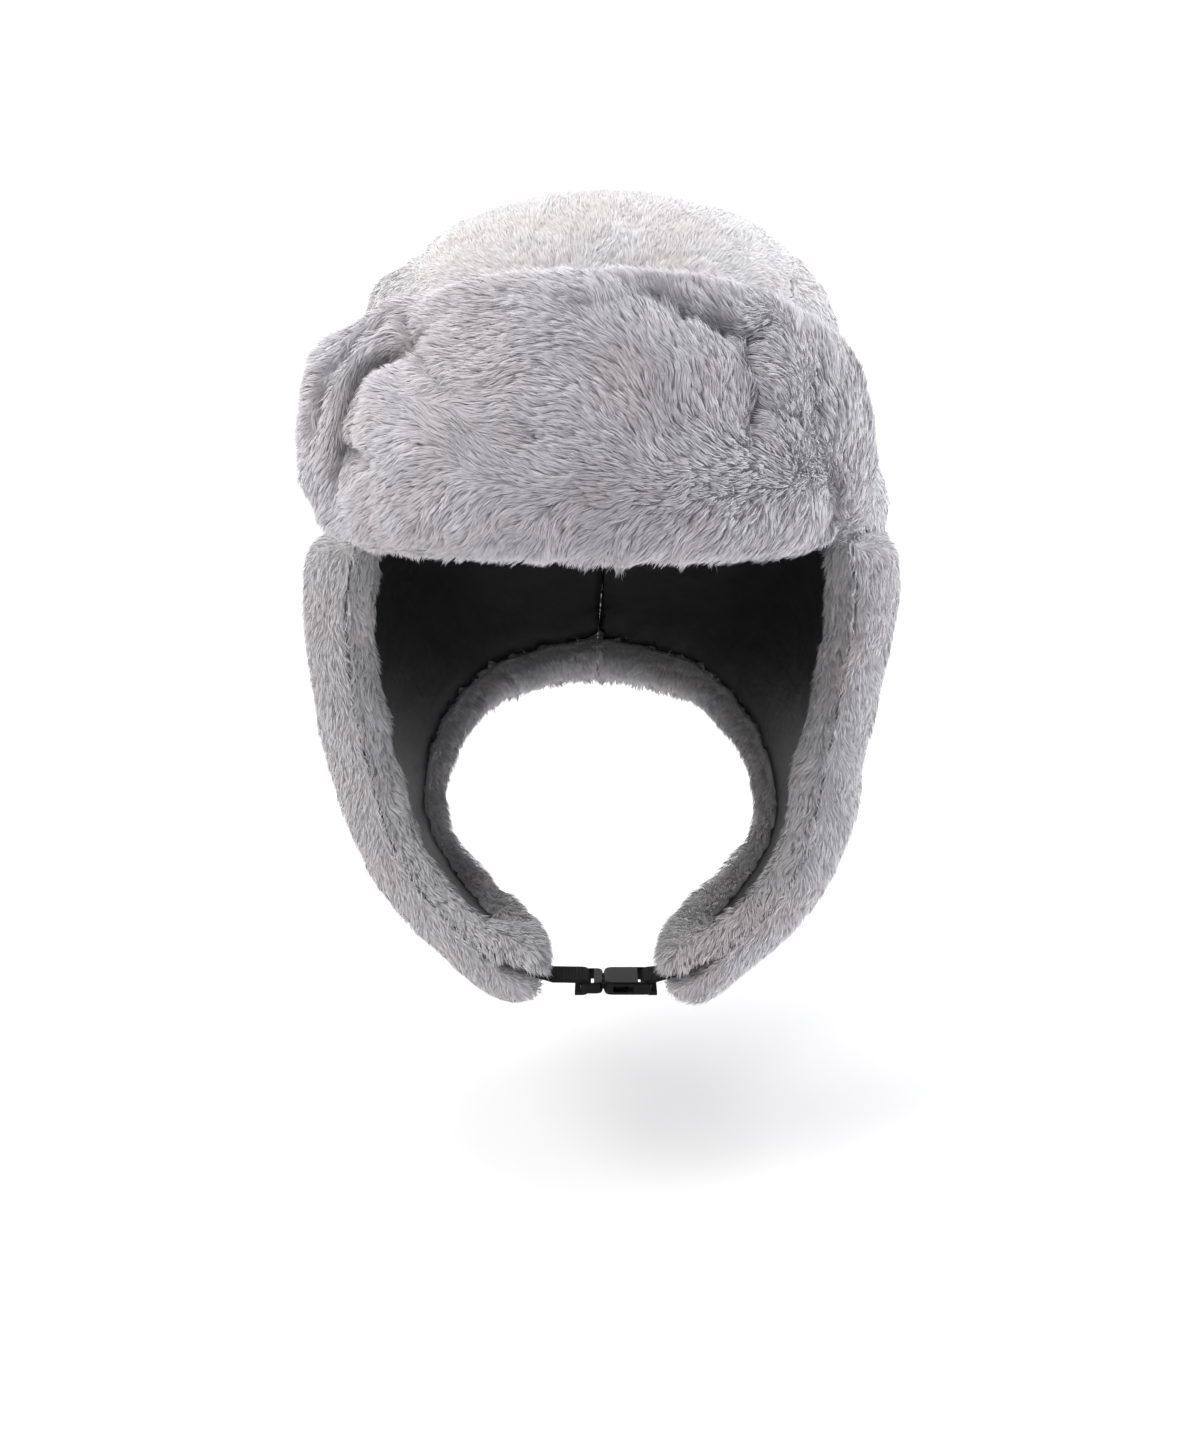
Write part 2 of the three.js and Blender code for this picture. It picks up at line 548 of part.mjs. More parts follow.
const TIP_ANGLE = -25; // where the strap leaves the flap
const BUCKLE_Z = flapMiddle(TIP_ANGLE, 1).z - 2.6;

// A band of webbing that follows a path in the plane of X and Z, as wide as the strap along Y.
function webbingGeometry(path, width) {
  const points = path.map(([x, z]) => new THREE.Vector2(x, z));
  const side = (sign) => points.map((point, i) => {
    const before = points[Math.max(i - 1, 0)];
    const after = points[Math.min(i + 1, points.length - 1)];
    const along = after.clone().sub(before).normalize();
    return point.clone().add(new THREE.Vector2(-along.y, along.x).multiplyScalar((sign * STRAP.thick) / 2));
  });
  const outline = new THREE.Shape([...side(-1), ...side(1).reverse()]);
  const geometry = new THREE.ExtrudeGeometry(outline, { depth: width, bevelEnabled: false });
  return geometry.rotateX(Math.PI / 2).translate(0, STRAP.y + width / 2, 0);
}

// Half a strap: its tail lies in the flap's tip, and it turns round the buckle's bar and back under itself.
function strapPath(side, barX) {
  const path = [];
  for (let i = 0; i <= 4; i += 1) {
    const p = flapMiddle(TIP_ANGLE, 1 - (STRAP.tail / FLAP_DROP) * (1 - i / 4));
    path.push([side * p.x, p.z]);
  }
  const loop = BUCKLE.bar * Math.SQRT1_2 + 0.3 + STRAP.thick / 2; // radius of the strap's turn round the bar
  for (let i = 0; i <= 8; i += 1) {
    const turn = Math.PI * (0.5 - i / 8);
    path.push([barX - side * loop * Math.cos(turn), BUCKLE_Z + loop * Math.sin(turn)]);
  }
  path.push([barX + side * BUCKLE.barRoom, BUCKLE_Z - loop]);
  return path;
}

// A flat closed body cut from an outline in plan, centred on the strap.
function plateGeometry(outline, thick, bevel) {
  const geometry = new THREE.ExtrudeGeometry(new THREE.Shape(outline), {
    depth: thick - 2 * bevel,
    bevelEnabled: bevel > 0,
    bevelThickness: bevel,
    bevelSize: bevel,
    bevelOffset: -bevel,
    bevelSegments: 2,
  });
  return geometry.translate(0, STRAP.y, BUCKLE_Z - thick / 2 + bevel);
}

const rectangle = (x0, y0, x1, y1) =>
  [[x0, y0], [x1, y0], [x1, y1], [x0, y1]].map(([x, y]) => new THREE.Vector2(x, y));

function roundedOutline(x0, y0, x1, y1, radius) {
  const points = [];
  const [left, right, front, back] = [x0 + radius, x1 - radius, y0 + radius, y1 - radius];
  const corners = [[right, back, 0], [left, back, 1], [left, front, 2], [right, front, 3]];
  for (const [cx, cy, quarter] of corners) {
    for (let i = 0; i <= 3; i += 1) {
      const turn = (Math.PI / 2) * (quarter + i / 3);
      points.push(new THREE.Vector2(cx + radius * Math.cos(turn), cy + radius * Math.sin(turn)));
    }
  }
  return points;
}

// A closed geometry as a manifold-3d solid, and back.
function solidOf(geometry) {
  const bare = geometry.index ? geometry.toNonIndexed() : geometry;
  const known = new Map();
  const vertices = [];
  const triangles = [];
  const position = bare.getAttribute("position");
  for (let i = 0; i < position.count; i += 1) {
    const p = [position.getX(i), position.getY(i), position.getZ(i)].map((c) => Math.round(c * 1e4) / 1e4);
    const key = p.join();
    if (!known.has(key)) {
      known.set(key, vertices.length / 3);
      vertices.push(...p);
    }
    triangles.push(known.get(key));
  }
  const solid = [];
  for (let i = 0; i < triangles.length; i += 3) {
    const [a, b, c] = triangles.slice(i, i + 3);
    if (a !== b && b !== c && c !== a) solid.push(a, b, c);
  }
  return new wasm.Manifold(new wasm.Mesh({
    numProp: 3,
    vertProperties: new Float32Array(vertices),
    triVerts: new Uint32Array(solid),
  }));
}

function geometryOf(solid) {
  const mesh = solid.getMesh();
  const geometry = new THREE.BufferGeometry();
  geometry.setAttribute("position", new THREE.BufferAttribute(mesh.vertProperties, 3));
  geometry.setIndex(new THREE.BufferAttribute(mesh.triVerts, 1));
  geometry.computeVertexNormals();
  return geometry;
}

const BUCKLE_HIGH = BUCKLE.low + BUCKLE.length;
const BUCKLE_JOINT = BUCKLE.low + BUCKLE.shoulder; // where the prongs' shoulder meets the socket
const PRONG_BAR = BUCKLE.low + BUCKLE.bar / 2;
const SOCKET_BAR = BUCKLE_HIGH - BUCKLE.bar / 2;
const HALF = BUCKLE.width / 2;

// What is cut from a plate's end to leave a bar for the strap: a slot inside the bar, and room above and
// below it.
function barCuts(barX, side) {
  const slotHalf = STRAP.width / 2 + 0.7;
  const inner = barX - (side * BUCKLE.bar) / 2;
  const slotEnd = inner - side * BUCKLE.slotLength;
  const roomEnd = barX + side * BUCKLE.barRoom;
  const slot = plateGeometry(rectangle(slotEnd, -slotHalf, inner, slotHalf), BUCKLE.thick + 2, 0);
  const room = plateGeometry(rectangle(slotEnd, -slotHalf, roomEnd, slotHalf), BUCKLE.thick, 0);
  const lift = (BUCKLE.thick + BUCKLE.bar) / 2;
  return [slot, room.clone().translate(0, 0, lift), room.clone().translate(0, 0, -lift)].map(solidOf);
}

const withoutAll = (body, cuts) => cuts.reduce((rest, cut) => rest.subtract(cut), body);

// The socket: a rounded case with a bar for the strap, open towards the prongs and at both sides.
function socketGeometry() {
  const [from, to] = [BUCKLE_JOINT, BUCKLE_HIGH];
  const { thick } = BUCKLE;
  const inside = HALF - SOCKET.sideWall;
  const outline = roundedOutline(from, -HALF, to, HALF, SOCKET.round);
  const body = solidOf(plateGeometry(outline, thick, SOCKET.bevel));
  const cavity = rectangle(from - 1, -inside, to - SOCKET.backWall, inside);
  const windows = rectangle(from + SOCKET.windowFrom, -HALF - 1, to - SOCKET.windowEnd, HALF + 1);
  const cuts = [
    solidOf(plateGeometry(cavity, thick - 2 * SOCKET.wall, 0)),
    solidOf(plateGeometry(windows, SOCKET.windowHigh, 0)),
    ...barCuts(SOCKET_BAR, 1),
  ];
  return geometryOf(withoutAll(body, cuts));
}

// The prongs: a bar and shoulder outside, and three prongs that reach into the socket.
function prongGeometry() {
  const [from, joint] = [BUCKLE.low, BUCKLE_JOINT - SEAM_GAP];
  const half = HALF - PRONGS.inset;
  const outline = roundedOutline(from, -half, joint, half, PRONGS.round);
  const body = solidOf(plateGeometry(outline, BUCKLE.thick - PRONGS.inset, PRONGS.bevel));
  const thick = BUCKLE.thick - 2 * (SOCKET.wall + PRONGS.play);
  const middle = rectangle(joint - PRONGS.root, -PRONGS.middleHalf, joint + PRONGS.reach, PRONGS.middleHalf);
  const arm = (side) => ARM_OUTLINE.map((p) => new THREE.Vector2(joint + p.along, side * (HALF - p.edge)));
  const parts = [middle, arm(1), arm(-1)].map((flat) => solidOf(plateGeometry(flat, thick, 0)));
  const shoulder = withoutAll(body, barCuts(PRONG_BAR, -1));
  return geometryOf(parts.reduce((sum, part) => sum.add(part), shoulder));
}

// ---- Assembly -----------------------------------------------------------------------------------

const hat = new THREE.Group();

function place(name, geometry, material) {
  const mesh = new THREE.Mesh(geometry, material);
  mesh.name = name;
  hat.add(mesh);
}

place("crown_centre_panel", centrePanelGeometry(), CROWN_FUR);
place("crown_left_panel", sidePanelGeometry(1), CROWN_FUR);
place("crown_right_panel", sidePanelGeometry(-1), CROWN_FUR);
place("crown_lining", crownLiningGeometry(), BLACK_LINING);

place("visor_face", visorFaceGeometry(), VISOR_FUR);
place("visor_back", visorBackGeometry(), VISOR_FUR);

// Both flaps hang over a little to one side, with all their layers.
function swayed(geometry) {
  const position = geometry.getAttribute("position");
  for (let i = 0; i < position.count; i += 1) {
    const sway = tableValue(FLAP_SECTIONS, "depth", "sway", -position.getZ(i));
    position.setX(i, position.getX(i) + sway);
  }
  geometry.computeVertexNormals();
  return geometry;
}

const flapPieces = [
  ["ear_flap", flapOuterGeometry(), FLAP_FUR],
  ["ear_facing", facingGeometry(), FACING_FUR],
  ["ear_lining", flapLiningGeometry(), BLACK_LINING],
];
for (const [name, geometry, material] of flapPieces) {
  place(name + "_right", swayed(mirrored(geometry)), material);
  place(name + "_left", swayed(geometry), material);
}

place("chin_strap_left", webbingGeometry(strapPath(1, SOCKET_BAR), STRAP.width), WEBBING);
place("chin_strap_right", webbingGeometry(strapPath(-1, PRONG_BAR), STRAP.width), WEBBING);
place("buckle_socket", socketGeometry(), BUCKLE_PLASTIC);
place("buckle_prongs", prongGeometry(), BUCKLE_PLASTIC);

export default hat;
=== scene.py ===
"""The looks of a grey fur-cloth aviator hat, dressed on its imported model: fur pieces with combed and tufted
pile, black linings, a webbing strap and a plastic buckle. Metres, +Z up, the wearer faces -Y."""

import math

import bpy
import numpy as np
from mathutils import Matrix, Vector
from mathutils.bvhtree import BVHTree
from mathutils.kdtree import KDTree


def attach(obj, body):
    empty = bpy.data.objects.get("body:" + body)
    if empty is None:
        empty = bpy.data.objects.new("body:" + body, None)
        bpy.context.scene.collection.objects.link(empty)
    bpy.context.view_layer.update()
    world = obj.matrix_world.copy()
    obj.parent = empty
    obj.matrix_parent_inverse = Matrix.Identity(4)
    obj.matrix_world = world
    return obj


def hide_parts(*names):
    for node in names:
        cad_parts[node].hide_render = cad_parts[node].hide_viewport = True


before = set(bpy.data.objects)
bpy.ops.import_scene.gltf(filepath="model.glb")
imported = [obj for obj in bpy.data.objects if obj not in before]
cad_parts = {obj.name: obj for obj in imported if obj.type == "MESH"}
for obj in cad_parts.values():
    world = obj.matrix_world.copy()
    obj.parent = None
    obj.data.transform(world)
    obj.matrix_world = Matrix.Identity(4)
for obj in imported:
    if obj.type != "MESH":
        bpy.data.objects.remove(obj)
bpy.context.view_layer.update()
MM = 0.001
CROWN_PANELS = ["crown_centre_panel", "crown_left_panel", "crown_right_panel"]

# ---- The pile -------------------------------------------------------------------------------------

# The kinds of pile, in millimetres and degrees. length: of a strand; lift: how steeply its lower and its
# upper half rise from the cloth; width: of a strand; tuft: distance between tufts; lean: the share by which
# strands bend into their tuft; swirl: how much the lie wanders, in radians; sink: how far the cloth lies
# under the tips; lump: height of soft unevenness; cell: distance between the points of the cloth.
PILES = {
    "crown": {"length": 3.8, "lift": (24, 6), "width": 0.32, "tuft": 2.6, "lean": 0.2, "swirl": 0.2,
              "sink": 0.9, "lump": 0.3, "cell": 2.7},
    "visor": {"length": 5.4, "lift": (46, 16), "width": 0.26, "tuft": 2.0, "lean": 0.47, "swirl": 0.2,
              "sink": 2.5, "lump": 0.6, "cell": 2.1},
    "back": {"length": 4.6, "lift": (40, 15), "width": 0.34, "tuft": 2.4, "lean": 0.4, "swirl": 0.2,
             "sink": 2.0, "lump": 0.4, "cell": 2.5},
    "flap": {"length": 4.4, "lift": (32, 9), "width": 0.34, "tuft": 2.5, "lean": 0.3, "swirl": 0.2,
             "sink": 1.4, "lump": 0.4, "cell": 2.7},
    "facing": {"length": 5.2, "lift": (48, 18), "width": 0.3, "tuft": 2.4, "lean": 0.45, "swirl": 0.25,
               "sink": 2.4, "lump": 0.6, "cell": 2.2},
}

# Distances in millimetres from a piece to its neighbour, which lies about 1 mm away along a seam. Of two
# distances, the nearer one is where an effect begins to change and the farther one is where it has changed.
SMOOTHED = (1.2, 4)  # beyond, cloth is smoothed fully
CLOSED = (1.6, 3)  # within, cloth is drawn up to its neighbour
CREASED = (1.5, 4)  # beyond, creases have their full depth
SUNK = (0.5, 2.4)  # beyond, cloth has sunk under its pile
LUMPY = (1.5, 7)  # beyond, cloth is fully uneven
LEANING_FROM = 1.2  # within, pile leans fully over its neighbour, and less up to the reach
LEANING_OVER_SEAM = {"amount": 0.8, "reach": 3.4}
LEANING_OVER_STRAP = {"amount": 2, "reach": 7}
SEWN_IN = 1.15  # within, cloth is inside the seam and bears no pile
HIDDEN = 2.4  # within, cloth is covered by another layer and bears no pile
TIP_CLOSED = (3.5, 6)  # within, cloth at the tip of a flap is drawn to the flap's other half
STRAP_NEAR = (12, 18)  # within, measured from the strap, is the tip of a flap
MIDDLE_PASSED = (1, 4)  # within, measured from the middle plane, left and right pieces reach past it

SMOOTHING_AT_SEAM = 0.05  # share of the smoothing that still moves cloth at a seam
CLOSING = 0.64  # share of the gap at a seam that cloth is drawn over
TIP_CLOSING = 0.6  # the same at the tip of a flap
PAST_MIDDLE = 1.5  # how far left and right pieces cross the middle, in millimetres
FUR_ROUNDS = 10  # rounds of smoothing for the cloth of a fur piece
SINK_ROUNDS = 3  # rounds of smoothing for its sinking and unevenness
SINK_LIMIT = 0.4  # greatest share of its thickness by which cloth sinks
JUST_INSIDE = 0.3 * MM  # where the thickness is measured from, so that the surface itself isn't hit
WIDE_LUMPS = {"size": 13 * MM, "share": 0.6}  # the cloth's unevenness is the sum of these two
FINE_LUMPS = {"size": 6 * MM, "share": 0.5}
CREASE_STEP = 0.4 * MM  # distance over which the slope of a crease is measured
# Creases are painted darker the deeper they are, as painted shade, and fully so at this depth.
FULL_CREASE = 4 * MM  # depth at which a crease is as dark as it gets

# How the lie of the pile wanders: wide waves, finer ones of a smaller share, and from strand to strand.
WIDE_SWIRL = 9 * MM
FINE_SWIRL = 4 * MM
FINE_SWIRL_SHARE = 0.6
SWIRL_SPREAD = 0.6

# How strands vary, as shares of their size or in radians, and the distances over which they vary together.
LENGTH_SPREAD = 0.14
LENGTH_WAVE = 0.08
LENGTH_WAVE_SIZE = 10 * MM
LENGTH_LIMITS = (0.6, 1.3)
LIFT_SPREAD = 0.1
LIFT_WAVE = 0.08
LIFT_WAVE_SIZE = 7 * MM
LEAN_LIMITS = (0.5, 1.1)
ROLL_SPREAD = 0.5
WIDTH_LIMITS = (0.7, 1.3)
LOWER_SHARE = 0.45  # the length of a strand below its bend
UPPER_SHARE = 0.55  # the length above it
BEND_LEAN = 0.4  # how far the bend follows the tip into the tuft
ROOT_DEPTH = 0.5 * MM  # how deep a root sits in the cloth

# How light falls on strands. A tuft is shaded as if it bulged, and a strand's normals lean back along its
# lie.
BULGE = 0.25
SHADE_SPREAD = 0.07
ROOT_UPRIGHT = 0.85
ROOT_LEAN_BACK = 0.4
TIP_LEAN_BACK = 0.15
TUFT_TONE_SPREAD = 0.035
TONE_SPREAD = 0.03
# The cloth is painted darker than the pile above it, as painted shade in the gaps between strands.
CLOTH_PAINTED_SHADE = 0.85
CLOTH_ALONG = 0.2  # the cloth has the colour of pile at this share of its length

# What changes where the pile is brushed smooth, and at the bottom of a crease. Smooth pile is painted paler,
# partly as a painted highlight; pile and cloth at the bottom of a crease are painted darker, as painted
# shade.
SMOOTH_SWIRL_LOSS = 0.5
SMOOTH_LIFT_LOSS = 0.5
SMOOTH_LEAN_LOSS = 0.85
SMOOTH_BULGE_LOSS = 0.2
SMOOTH_TONE_AND_HIGHLIGHT_GAIN = 0.1
CREASE_LENGTH_LOSS = 0.5
CREASE_PAINTED_SHADE = 0.35
CREASE_CLOTH_PAINTED_SHADE = 0.3

# ---- The visor's face -----------------------------------------------------------------------------

# Places on it are an angle from straight ahead, towards the wearer's left, in degrees, and a height in
# millimetres. VISOR_RADIUS turns the angle into a distance across the visor in millimetres.
VISOR_RADIUS = 112

# How the pile lies: (angle, height, turn of the lie from the wearer's left over up, in degrees).
VISOR_LAY = [
    (-27, 67, 188), (-19, 66, 182), (-15, 72, 178), (-18, 56, 225), (-24, 55, 222), (-14, 56, 218),
    (-9, 61, 185), (-6, 71, 172), (-11, 48, 205), (-20, 48, 222), (-3, 54, 165), (-1, 62, 150),
    (-6, 43, 175), (-1, 43, 150), (2, 31, 142), (5, 51, 128), (7, 45, 112), (6, 61, 120),
    (1, 75, 128), (10, 45, 108), (12, 60, 105), (12, 34, 125), (15, 45, 98), (19, 51, 95),
    (7, 31, 135), (-5, 31, 170), (0, 23, 160), (4, 21, 172), (11, 20, 188), (15, 23, 170),
    (5, 12, 225), (-1, 13, 215), (13, 12, 228), (-7, 20, 190), (-13, 25, 155), (-18, 34, 135),
    (-13, 33, 140), (-22, 42, 140), (-9, 25, 160), (-29, 31, 212), (-33, 23, 215), (-25, 18, 215),
    (-42, 8, 198), (-33, 8, 202), (-48, 14, 205), (-19, 16, 222), (-14, 11, 230), (-8, 8, 240),
    (-37, 43, 190), (-31, 50, 150), (-32, 0, 222), (-22, 1, 235), (-14, 1, 250), (-6, 1, 262),
    (2, 0, 268), (10, 0, 266), (20, 0, 262), (31, 1, 262), (24, 66, 180), (26, 56, 160),
    (27, 47, 150), (28, 31, 140), (38, 37, 135), (25, 22, 165), (29, 13, 250), (24, 10, 245),
    (38, 8, 255), (42, 46, 110), (46, 30, 100), (45, 14, 95), (-48, 46, 250), (-50, 33, 262),
    (-42, 62, 229), (-52, 14, 258), (-56, 50, 185), (-58, 36, 190), (-58, 16, 215), (-25, 80, 160),
    (-10, 84, 140), (5, 86, 118), (20, 82, 105), (35, 74, 80),
]
LAY_BLUR = 4  # millimetres around one of these places within which the lie hardly changes
LAY_FALLOFF = 1.6  # power of the squared distance by which the weight of a place falls off

# Creases, dents and the seam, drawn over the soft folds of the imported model, as rows of (angle, height,
# depth, half width), the last two in millimetres.
VISOR_CREASES = {
    "seam along the right end": [
        (-36, 74, 0.5, 1), (-40, 69.5, 2.6, 1.6), (-44, 66, 3, 1.7), (-46.5, 60, 4, 1.8),
        (-49.5, 53, 4, 1.8), (-51, 47, 3.4, 1.7), (-52, 39, 3.6, 1.7), (-52.5, 33, 0.5, 1),
    ],
    "crease under the rolled end": [
        (-35, 73, 0.5, 1.5), (-31.5, 62.5, 6, 3.8), (-36, 60, 6, 3.8), (-42, 57, 5.5, 3.2),
        (-45, 50.5, 4.5, 2.4), (-46.2, 46, 3.6, 2.2), (-47.3, 38, 4, 2.6), (-47.1, 32, 5, 3),
        (-47.8, 24, 2.4, 2.4), (-48.5, 14, 0.4, 2),
    ],
    "arm of the pinch": [(-31.5, 62.5, 5, 2.6), (-28, 65, 3, 2), (-26, 66, 0.5, 1.5)],
    "upper edge of the ridge": [
        (-31.5, 62, 4, 2), (-28, 59.5, 3, 1.6), (-24, 53, 1.8, 1.6), (-20.5, 49, 1.2, 1.6),
        (-17, 45, 0.3, 1.5),
    ],
    "dent under the rolled end": [
        (-46.8, 32, 5, 3), (-41, 29.5, 4, 2.6), (-37.5, 27.5, 2.5, 2.2), (-34, 26, 0.4, 2),
    ],
    "slanting crease": [
        (4, 78, 0.4, 2), (9, 74.5, 3, 2.4), (14, 69.5, 4.5, 2.8), (19, 66, 5.5, 3.2), (22, 64, 5, 3),
        (22.4, 58.5, 4, 2.4), (22, 48.5, 3.2, 2.2), (22.6, 43, 4.2, 2.6), (21.4, 34, 1.5, 2),
        (19.8, 28, 0.3, 2),
    ],
    "fork of the slanting crease": [(21.5, 64.5, 4, 2.4), (26.5, 67, 0.5, 1.6)],
    "short upright crease": [(17, 52, 0.3, 1.2), (17, 48, 2, 1.4), (16.9, 42, 0.4, 1.2)],
    "second upright crease": [
        (38, 54, 0.4, 1.8), (33, 49, 3, 2.2), (33, 46, 3.6, 2.4), (36, 42, 3.4, 2.2), (36.5, 36, 1, 1.8),
    ],
    "swirl": [(25.8, 42, 2, 1.8), (30.6, 39, 3.2, 2), (32.5, 32, 3, 2), (34.3, 27, 0.4, 1.6)],
    "crease at the left end": [
        (37, 30, 0.4, 2), (38.5, 25, 3.5, 2.2), (40, 20, 5, 2.5), (41, 14, 5, 2.5), (40.8, 7, 3, 2.2),
        (40, 2, 0.4, 1.8),
    ],
    "dent in the middle": [(-10, 35, 0.4, 1.6), (-8.5, 35, 2.2, 2), (-7, 35, 0.4, 1.6)],
    "dent near the top": [(-5.5, 73.5, 0.5, 1.4), (-3, 72, 2.6, 1.6), (-1, 70, 0.5, 1.4)],
    "low dent": [(-8.2, 15.7, 0.5, 1.2), (-6.4, 14.6, 2, 1.3), (-5, 15, 0.5, 1.2)],
    "low dent at the left": [(18.2, 20.5, 1.6, 1.5), (19, 16, 0.4, 1.4)],
}
CRUMPLED = (-10, 20)  # distances across between which even creases turn into crumpled ones
WANDER_SIZE = 6 * MM  # distance over which a crumpled crease wanders to and fro, by about a millimetre
WANDER_SEEDS = (21, 22)
UNEVEN_SIZE = 4 * MM  # distance over which its depth changes
UNEVEN_SEED = 23
UNEVEN_SHARE = 0.3
UNEVEN_LIMITS = (0.4, 1.5)

# Where the pile is brushed smooth, and painted paler there, partly as a painted highlight, as rows of (angle,
# height, amount, half width in millimetres).
VISOR_SMOOTH = {
    "slanting ridge": [
        (-33, 55, 1, 6), (-24, 49, 1, 6), (-18, 42, 0.9, 5), (-14.5, 36, 0.7, 4.5), (-10, 29, 0.3, 4),
    ],
    "rolled end": [
        (-36, 70, 1, 4), (-43, 61.5, 1, 4), (-48, 48, 1, 4), (-50, 38, 0.8, 4), (-51, 24, 0.3, 4),
    ],
    "top edge": [(-34, 79, 0.8, 5), (-20, 84, 0.8, 5), (0, 87, 0.8, 5), (20, 84, 0.8, 5), (36, 76, 0.8, 5)],
    "left end": [(36, 70, 0.8, 5), (42, 62, 1, 5), (45.5, 46, 1, 5), (47.5, 28, 1, 5), (49, 10, 0.8, 5)],
}


# ---- Small helpers --------------------------------------------------------------------------------


def unit(v):
    return v / np.maximum(np.linalg.norm(v, axis=-1, keepdims=True), 1e-12)


def smoothstep(x, low, high):
    t = np.clip((x - low) / (high - low), 0, 1)
    return t * t * (3 - 2 * t)


def waves(points, size, seed):
    """A smooth random field of about unit height that changes over a distance of size, at each point."""
    count = 8
    length = 2.4 * size
    rng = np.random.default_rng(seed)
    directions = unit(rng.normal(size=(count, 3)))
    turns = directions * rng.uniform(0.6, 1.5, (count, 1)) * math.tau / length
    phases = rng.uniform(0, math.tau, count)
    return np.cos(points @ turns.T + phases).sum(1) / math.sqrt(count / 2)


def points_of(mesh):
    co = np.empty(len(mesh.vertices) * 3, np.float32)
    mesh.vertices.foreach_get("co", co)
    return co.reshape(-1, 3).astype(float)


def triangles_of(mesh):
    mesh.calc_loop_triangles()
    index = np.empty(len(mesh.loop_triangles) * 3, np.int32)
    mesh.loop_triangles.foreach_get("vertices", index)
    return index.reshape(-1, 3)


def normals_of(points, triangles):
    corner = points[triangles]
    face = np.cross(corner[:, 1] - corner[:, 0], corner[:, 2] - corner[:, 0])
    normals = np.zeros_like(points)
    for k in range(3):
        np.add.at(normals, triangles[:, k], face)
    return unit(normals)


def areas_of(points, triangles):
    corner = points[triangles]
    return np.linalg.norm(np.cross(corner[:, 1] - corner[:, 0], corner[:, 2] - corner[:, 0]), axis=1) / 2


def neighbour_means(values, triangles):
    """The mean of each point's value and its neighbours' values, for a column or for rows of values."""
    total = values.copy()
    count = np.ones(len(values))
    for a, b in ((0, 1), (1, 2), (2, 0)):
        for start, end in ((a, b), (b, a)):
            np.add.at(total, triangles[:, start], values[triangles[:, end]])
            np.add.at(count, triangles[:, start], 1)
    return total / (count[:, None] if values.ndim > 1 else count)


def tree_of(names):
    """A search tree of the triangles of several CAD nodes."""
    points = []
    triangles = []
    start = 0
    for name in names:
        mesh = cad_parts[name].data
        points.append(points_of(mesh))
        triangles.append(triangles_of(mesh) + start)
        start += len(points[-1])
    return BVHTree.FromPolygons(np.concatenate(points).tolist(), np.concatenate(triangles).tolist())


def gap_to(points, names):
    """The nearest point on other pieces and the distance to it in millimetres, for each point."""
    tree = tree_of(names)
    nearest = [tree.find_nearest(Vector(p)) for p in points]
    return np.array([hit[0] for hit in nearest]), np.array([hit[3] for hit in nearest]) / MM


def nearest_tuft(tufts, points):
    """The number of the tuft that is nearest to each point."""
    tree = KDTree(len(tufts))
    for i, place in enumerate(tufts):
        tree.insert(place, i)
    tree.balance()
    return np.array([tree.find(p)[1] for p in points])


def object_from(name, points, polygons, material, normals=None, attributes=None):
    """A smooth-shaded mesh object from arrays of points and lists of equal-sized polygons."""
    mesh = bpy.data.meshes.new(name)
    mesh.vertices.add(len(points))
    mesh.vertices.foreach_set("co", points.astype(np.float32).ravel())
    sizes = np.concatenate([np.full(len(p), p.shape[1]) for p in polygons])
    starts = np.concatenate([[0], np.cumsum(sizes)[:-1]])
    mesh.loops.add(int(sizes.sum()))
    mesh.loops.foreach_set("vertex_index", np.concatenate([p.ravel() for p in polygons]).astype(np.int32))
    mesh.polygons.add(len(sizes))
    mesh.polygons.foreach_set("loop_start", starts.astype(np.int32))
    mesh.polygons.foreach_set("use_smooth", np.ones(len(sizes), bool))
    mesh.update(calc_edges=True)
    mesh.validate()
    for key, values in (attributes or {}).items():
        mesh.attributes.new(key, "FLOAT", "POINT").data.foreach_set("value", values.astype(np.float32))
    if normals is not None:
        mesh.normals_split_custom_set_from_vertices(normals.astype(np.float32))
    mesh.materials.append(material)
    piece = bpy.data.objects.new(name, mesh)
    bpy.context.scene.collection.objects.link(piece)
    return piece


def finished(piece, node):
    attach(piece, "root")
    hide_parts(node)


# ---- Materials ------------------------------------------------------------------------------------


def new_material(name):
    """A new material with its nodes, its links and its main shader."""
    material = bpy.data.materials.new(name)
    material.use_nodes = True
    nodes = material.node_tree.nodes
    return material, nodes, material.node_tree.links, nodes["Principled BSDF"]


def fill(node, **values):
    """Set inputs of a shader node. A name's underscores stand for spaces."""
    for key, value in values.items():
        node.inputs[key.replace("_", " ")].default_value = value


